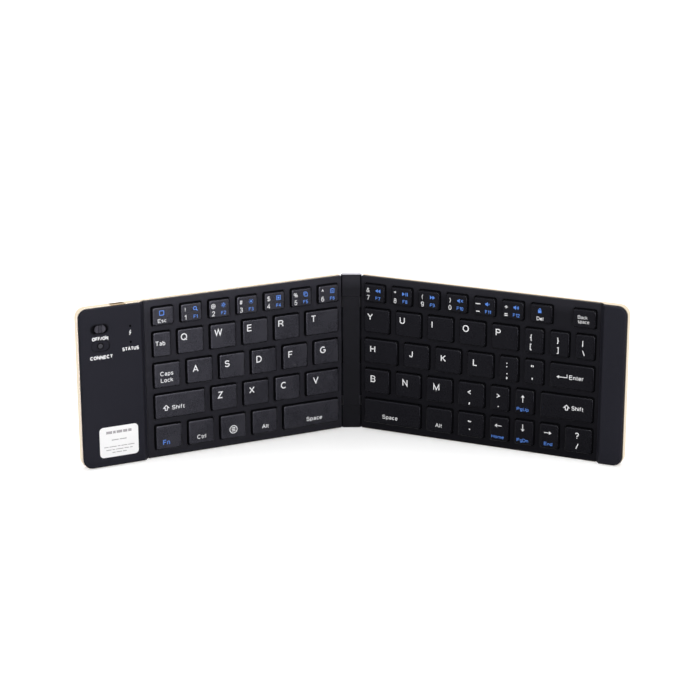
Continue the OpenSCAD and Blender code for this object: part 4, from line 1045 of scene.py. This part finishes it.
def stack(mesh, side, across, up, outlines, coat=0):    # outlines on top of each other, closed at both ends
    last = None
    for points, out in outlines:
        here = [mesh.verts.new(onHalf(side, across + side * x, up + y, out)) for x, y in points]
        if last is None:
            mesh.faces.new(list(reversed(here))).material_index = coat
        else:
            bridge(mesh, last, here, coat)
        last = here
    mesh.faces.new(last).material_index = coat


def pillRing(length, height, inset=0):
    return roundedRing(length, height, height / 2 - 0.001, inset, 8)


def thumbPad(way, inset):             # half a disc at one end of the knob
    radius = knob["height"] / 2 - knob["padIn"] - inset
    middle = knob["length"] / 2 - knob["height"] / 2 + inset * 0.7
    turns = [math.radians(-90 + 12 * i) for i in range(knob["padSteps"] + 1)]
    points = [(way * (middle + radius * math.cos(a)), radius * math.sin(a)) for a in turns]
    return points if way > 0 else points[::-1]


knobMesh = bmesh.new()
place = (knobMesh, left, knob["across"], knob["up"])
# The flange, stem and body below the pads are dark: painted shade in the switch slot
stack(*place, [(pillRing(*knob["flangeSize"], inset), out) for inset, out in knob["flange"]], 1)
stack(knobMesh, left, knob["stemAcross"], knob["up"],
      [(roundedRing(*knob["stemSize"], inset), out) for inset, out in knob["stem"]], 1)
stack(*place, [(pillRing(knob["length"], knob["height"], inset), out) for inset, out in knob["body"]], 1)
for way in (-1, 1):                   # a thumb pad at each end
    stack(*place, [(thumbPad(way, inset), out) for inset, out in knob["pad"]])
stack(*place, [(roundedRing(*knob["middleSize"], inset), out) for inset, out in knob["middle"]])
for step in (-1, 0, 1):               # grip ribs between them
    stack(knobMesh, left, knob["across"] + step * knob["ribStep"], knob["up"],
          [(roundedRing(*knob["ribSize"], inset, 3), out) for inset, out in knob["rib"]])
piece = newPiece("power_knob", knobMesh, ("control", "controlDark"), "power_slider")
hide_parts("power_slider")

buttonMesh = bmesh.new()
place = (buttonMesh, left, button["across"], button["up"])
# The collar and sides are dark: painted shade round the button
stack(*place, [(pillRing(*button["collarSize"], inset), out) for inset, out in button["collar"]], 1)
stack(*place, [(pillRing(*button["size"], inset), out) for inset, out in button["body"]], 1)
stack(*place, [(pillRing(*button["size"], inset), out) for inset, out in button["disc"]])
piece = newPiece("connect_cap", buttonMesh, ("buttonTop", "controlDark"), "connect_button")
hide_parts("connect_button")
print("controls built")

coverTop = 4.55
coverMarks = [
    ("OFF/ON", 144.6, 73.0, white, 2.05, 9.1, 0.24), ("CONNECT", 144.2, 62.5, white, 2.05, 12.8, 0.25),
    ("STATUS", 127.75, 65.3, white, 2.05, 9.4, 0.22), (boltSign, 127.75, 74.3, white, 1.0),
]
sheet = Print(left, coverTop)
for item in coverMarks:
    printMark(sheet, *item)
newPiece("print_cover", sheet.mesh, ("whiteInk", "blueInk"), "left_half")

# Grey bars: height, thickness and bar lengths
label = {"middle": 136.1, "lift": 0.1, "space": 0.5, "rows": [
    (19.6, 1.5, (3.4, 1.5, 3.2, 2.4, 1.9)), (15.2, 0.5, (4.0, 4.0)), (11.4, 0.42, (2.4, 4.2, 1.6, 3.4, 3.6)),
    (9.7, 0.42, (3.0, 1.4, 4.4, 2.6, 1.6)), (8.1, 0.42, (1.8, 3.2, 2.2))]}
sheet = Print(left, coverTop + label["lift"])
for up, thick, bars in label["rows"]:
    start = -(sum(bars) + label["space"] * (len(bars) - 1)) / 2
    for bar in bars:
        low, high, end = -thick / 2, thick / 2, start + bar
        sheet.place(label["middle"], up, 0).plate((start, low), (end, low), (end, high), (start, high))
        start += bar + label["space"]
newPiece("print_label", sheet.mesh, ("greyInk",), "left_half")
print("lettering printed")

# A pale floor and soft studio lamps. Near the part the floor glows less, and only for the camera
stage = {
    "floor": (0.80, 0.80, 0.80), "floorSize": 6, "floorParts": 24, "floorGap": 0.0002,
    "lift": 0.5, "liftFrom": 0.0, "liftTo": 0.3, "liftNear": 0.07,
    "far": 1.0, "farFrom": 0.9, "farTo": 3.0,
    "ambient": 0.36, "front": 0.03, "tint": (0.95, 0.935, 1.17),
    "windows": [((0.557, -0.826, -0.08), 7.1), ((-0.717, -0.692, -0.087), 0.65)],
    "windowFrom": 0.974, "windowTo": 0.9925, "frontSlope": -2.5, "frontFrom": 0.35,
    "lamps": [  # name, place, aim, size, watts
        ("sideLamp", (0.75, -1.35, 0.34), (0.0, 0.0, 0.04), 0.6, 7.0),
        ("frontLamp", (-0.35, -1.3, 1.0), (0.0, 0.0, 0.04), 0.8, 9.5),
        ("topLamp", (0.0, 0.28, 1.3), (0.0, 0.05, 0.0), 0.9, 12.5),
    ],
}


def buildFloor():
    mesh = bmesh.new()
    parts = stage["floorParts"]
    bmesh.ops.create_grid(mesh, x_segments=parts, y_segments=parts, size=stage["floorSize"])
    data = bpy.data.meshes.new("floor")
    mesh.to_mesh(data)
    mesh.free()
    floor = bpy.data.objects.new("floor", data)
    bpy.context.scene.collection.objects.link(floor)
    floor.location.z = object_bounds()[0][2] - stage["floorGap"]
    floor.visible_glossy = False      # gloss shows the studio's far walls instead of the paper
    material = bpy.data.materials.new("floorPaper")
    material.use_nodes = True
    tree = material.node_tree
    tree.nodes.clear()
    start = Wire(tree)
    paper = start.node("ShaderNodeBsdfDiffuse", None, {"Color": stage["floor"], "Roughness": 1.0})
    seen = start.node("ShaderNodeLightPath", None, None, out=0)
    place = start.node("ShaderNodeTexCoord", None, None, out=3)
    away = start.node("ShaderNodeVectorMath", {"operation": "LENGTH"}, {0: place}, out=1)
    near = ((away - stage["liftFrom"]) / (stage["liftTo"] - stage["liftFrom"])).clamp()
    far = ((away - stage["farFrom"]) / (stage["farTo"] - stage["farFrom"])).clamp()
    glow = start.node("ShaderNodeEmission", None,
                      {"Color": (1.0, 1.0, 1.0),
                       "Strength": seen * (near * stage["lift"] + far * stage["far"] + stage["liftNear"])})
    both = start.node("ShaderNodeAddShader", None, {0: paper, 1: glow})
    tree.links.new(both.socket, tree.nodes.new("ShaderNodeOutputMaterial").inputs["Surface"])
    data.materials.append(material)


# White all round; gloss sees a dim studio in front with two soft windows
def buildWorld():
    world = bpy.data.worlds.new("studio")
    world.use_nodes = True
    tree = world.node_tree
    tree.nodes.clear()
    start = Wire(tree)
    seen, gloss, through = [start.node("ShaderNodeLightPath", None, None, out=name)
                            for name in ("Is Camera Ray", "Is Glossy Ray", "Is Transmission Ray")]
    way = start.node("ShaderNodeTexCoord", None, None, out=0)
    level = start.node("ShaderNodeSeparateXYZ", None, {0: way}, out=1)
    front = (level * stage["frontSlope"] + stage["frontFrom"]).clamp()
    glow = stage["front"]
    for aim, strength in stage["windows"]:
        towards = tuple(Vector(aim).normalized())
        near = start.node("ShaderNodeVectorMath", {"operation": "DOT_PRODUCT"}, {0: way, 1: towards}, out=1)
        band = stage["windowTo"] - stage["windowFrom"]
        glow = ((near - stage["windowFrom"]) / band).clamp() * strength + glow
    mirrored = (1 - front) + front * glow
    direct = (seen + through).clamp()
    strength = direct + (1 - direct) * (gloss * mirrored + (1 - gloss) * stage["ambient"])
    tone = (front * gloss).tint((1.0, 1.0, 1.0), stage["tint"])
    sky = start.node("ShaderNodeBackground", None, {"Color": tone, "Strength": strength})
    tree.links.new(sky.socket, tree.nodes.new("ShaderNodeOutputWorld").inputs["Surface"])
    bpy.context.scene.world = world


def buildLamps():
    for name, place, aim, size, watts in stage["lamps"]:
        data = bpy.data.lights.new(name, "AREA")
        data.shape, data.size, data.energy = "DISK", size, watts
        lamp = bpy.data.objects.new(name, data)
        bpy.context.scene.collection.objects.link(lamp)
        lamp.location = place
        lamp.rotation_euler = (Vector(aim) - Vector(place)).to_track_quat("-Z", "Y").to_euler()


buildFloor()
buildWorld()
buildLamps()
print("stage set")
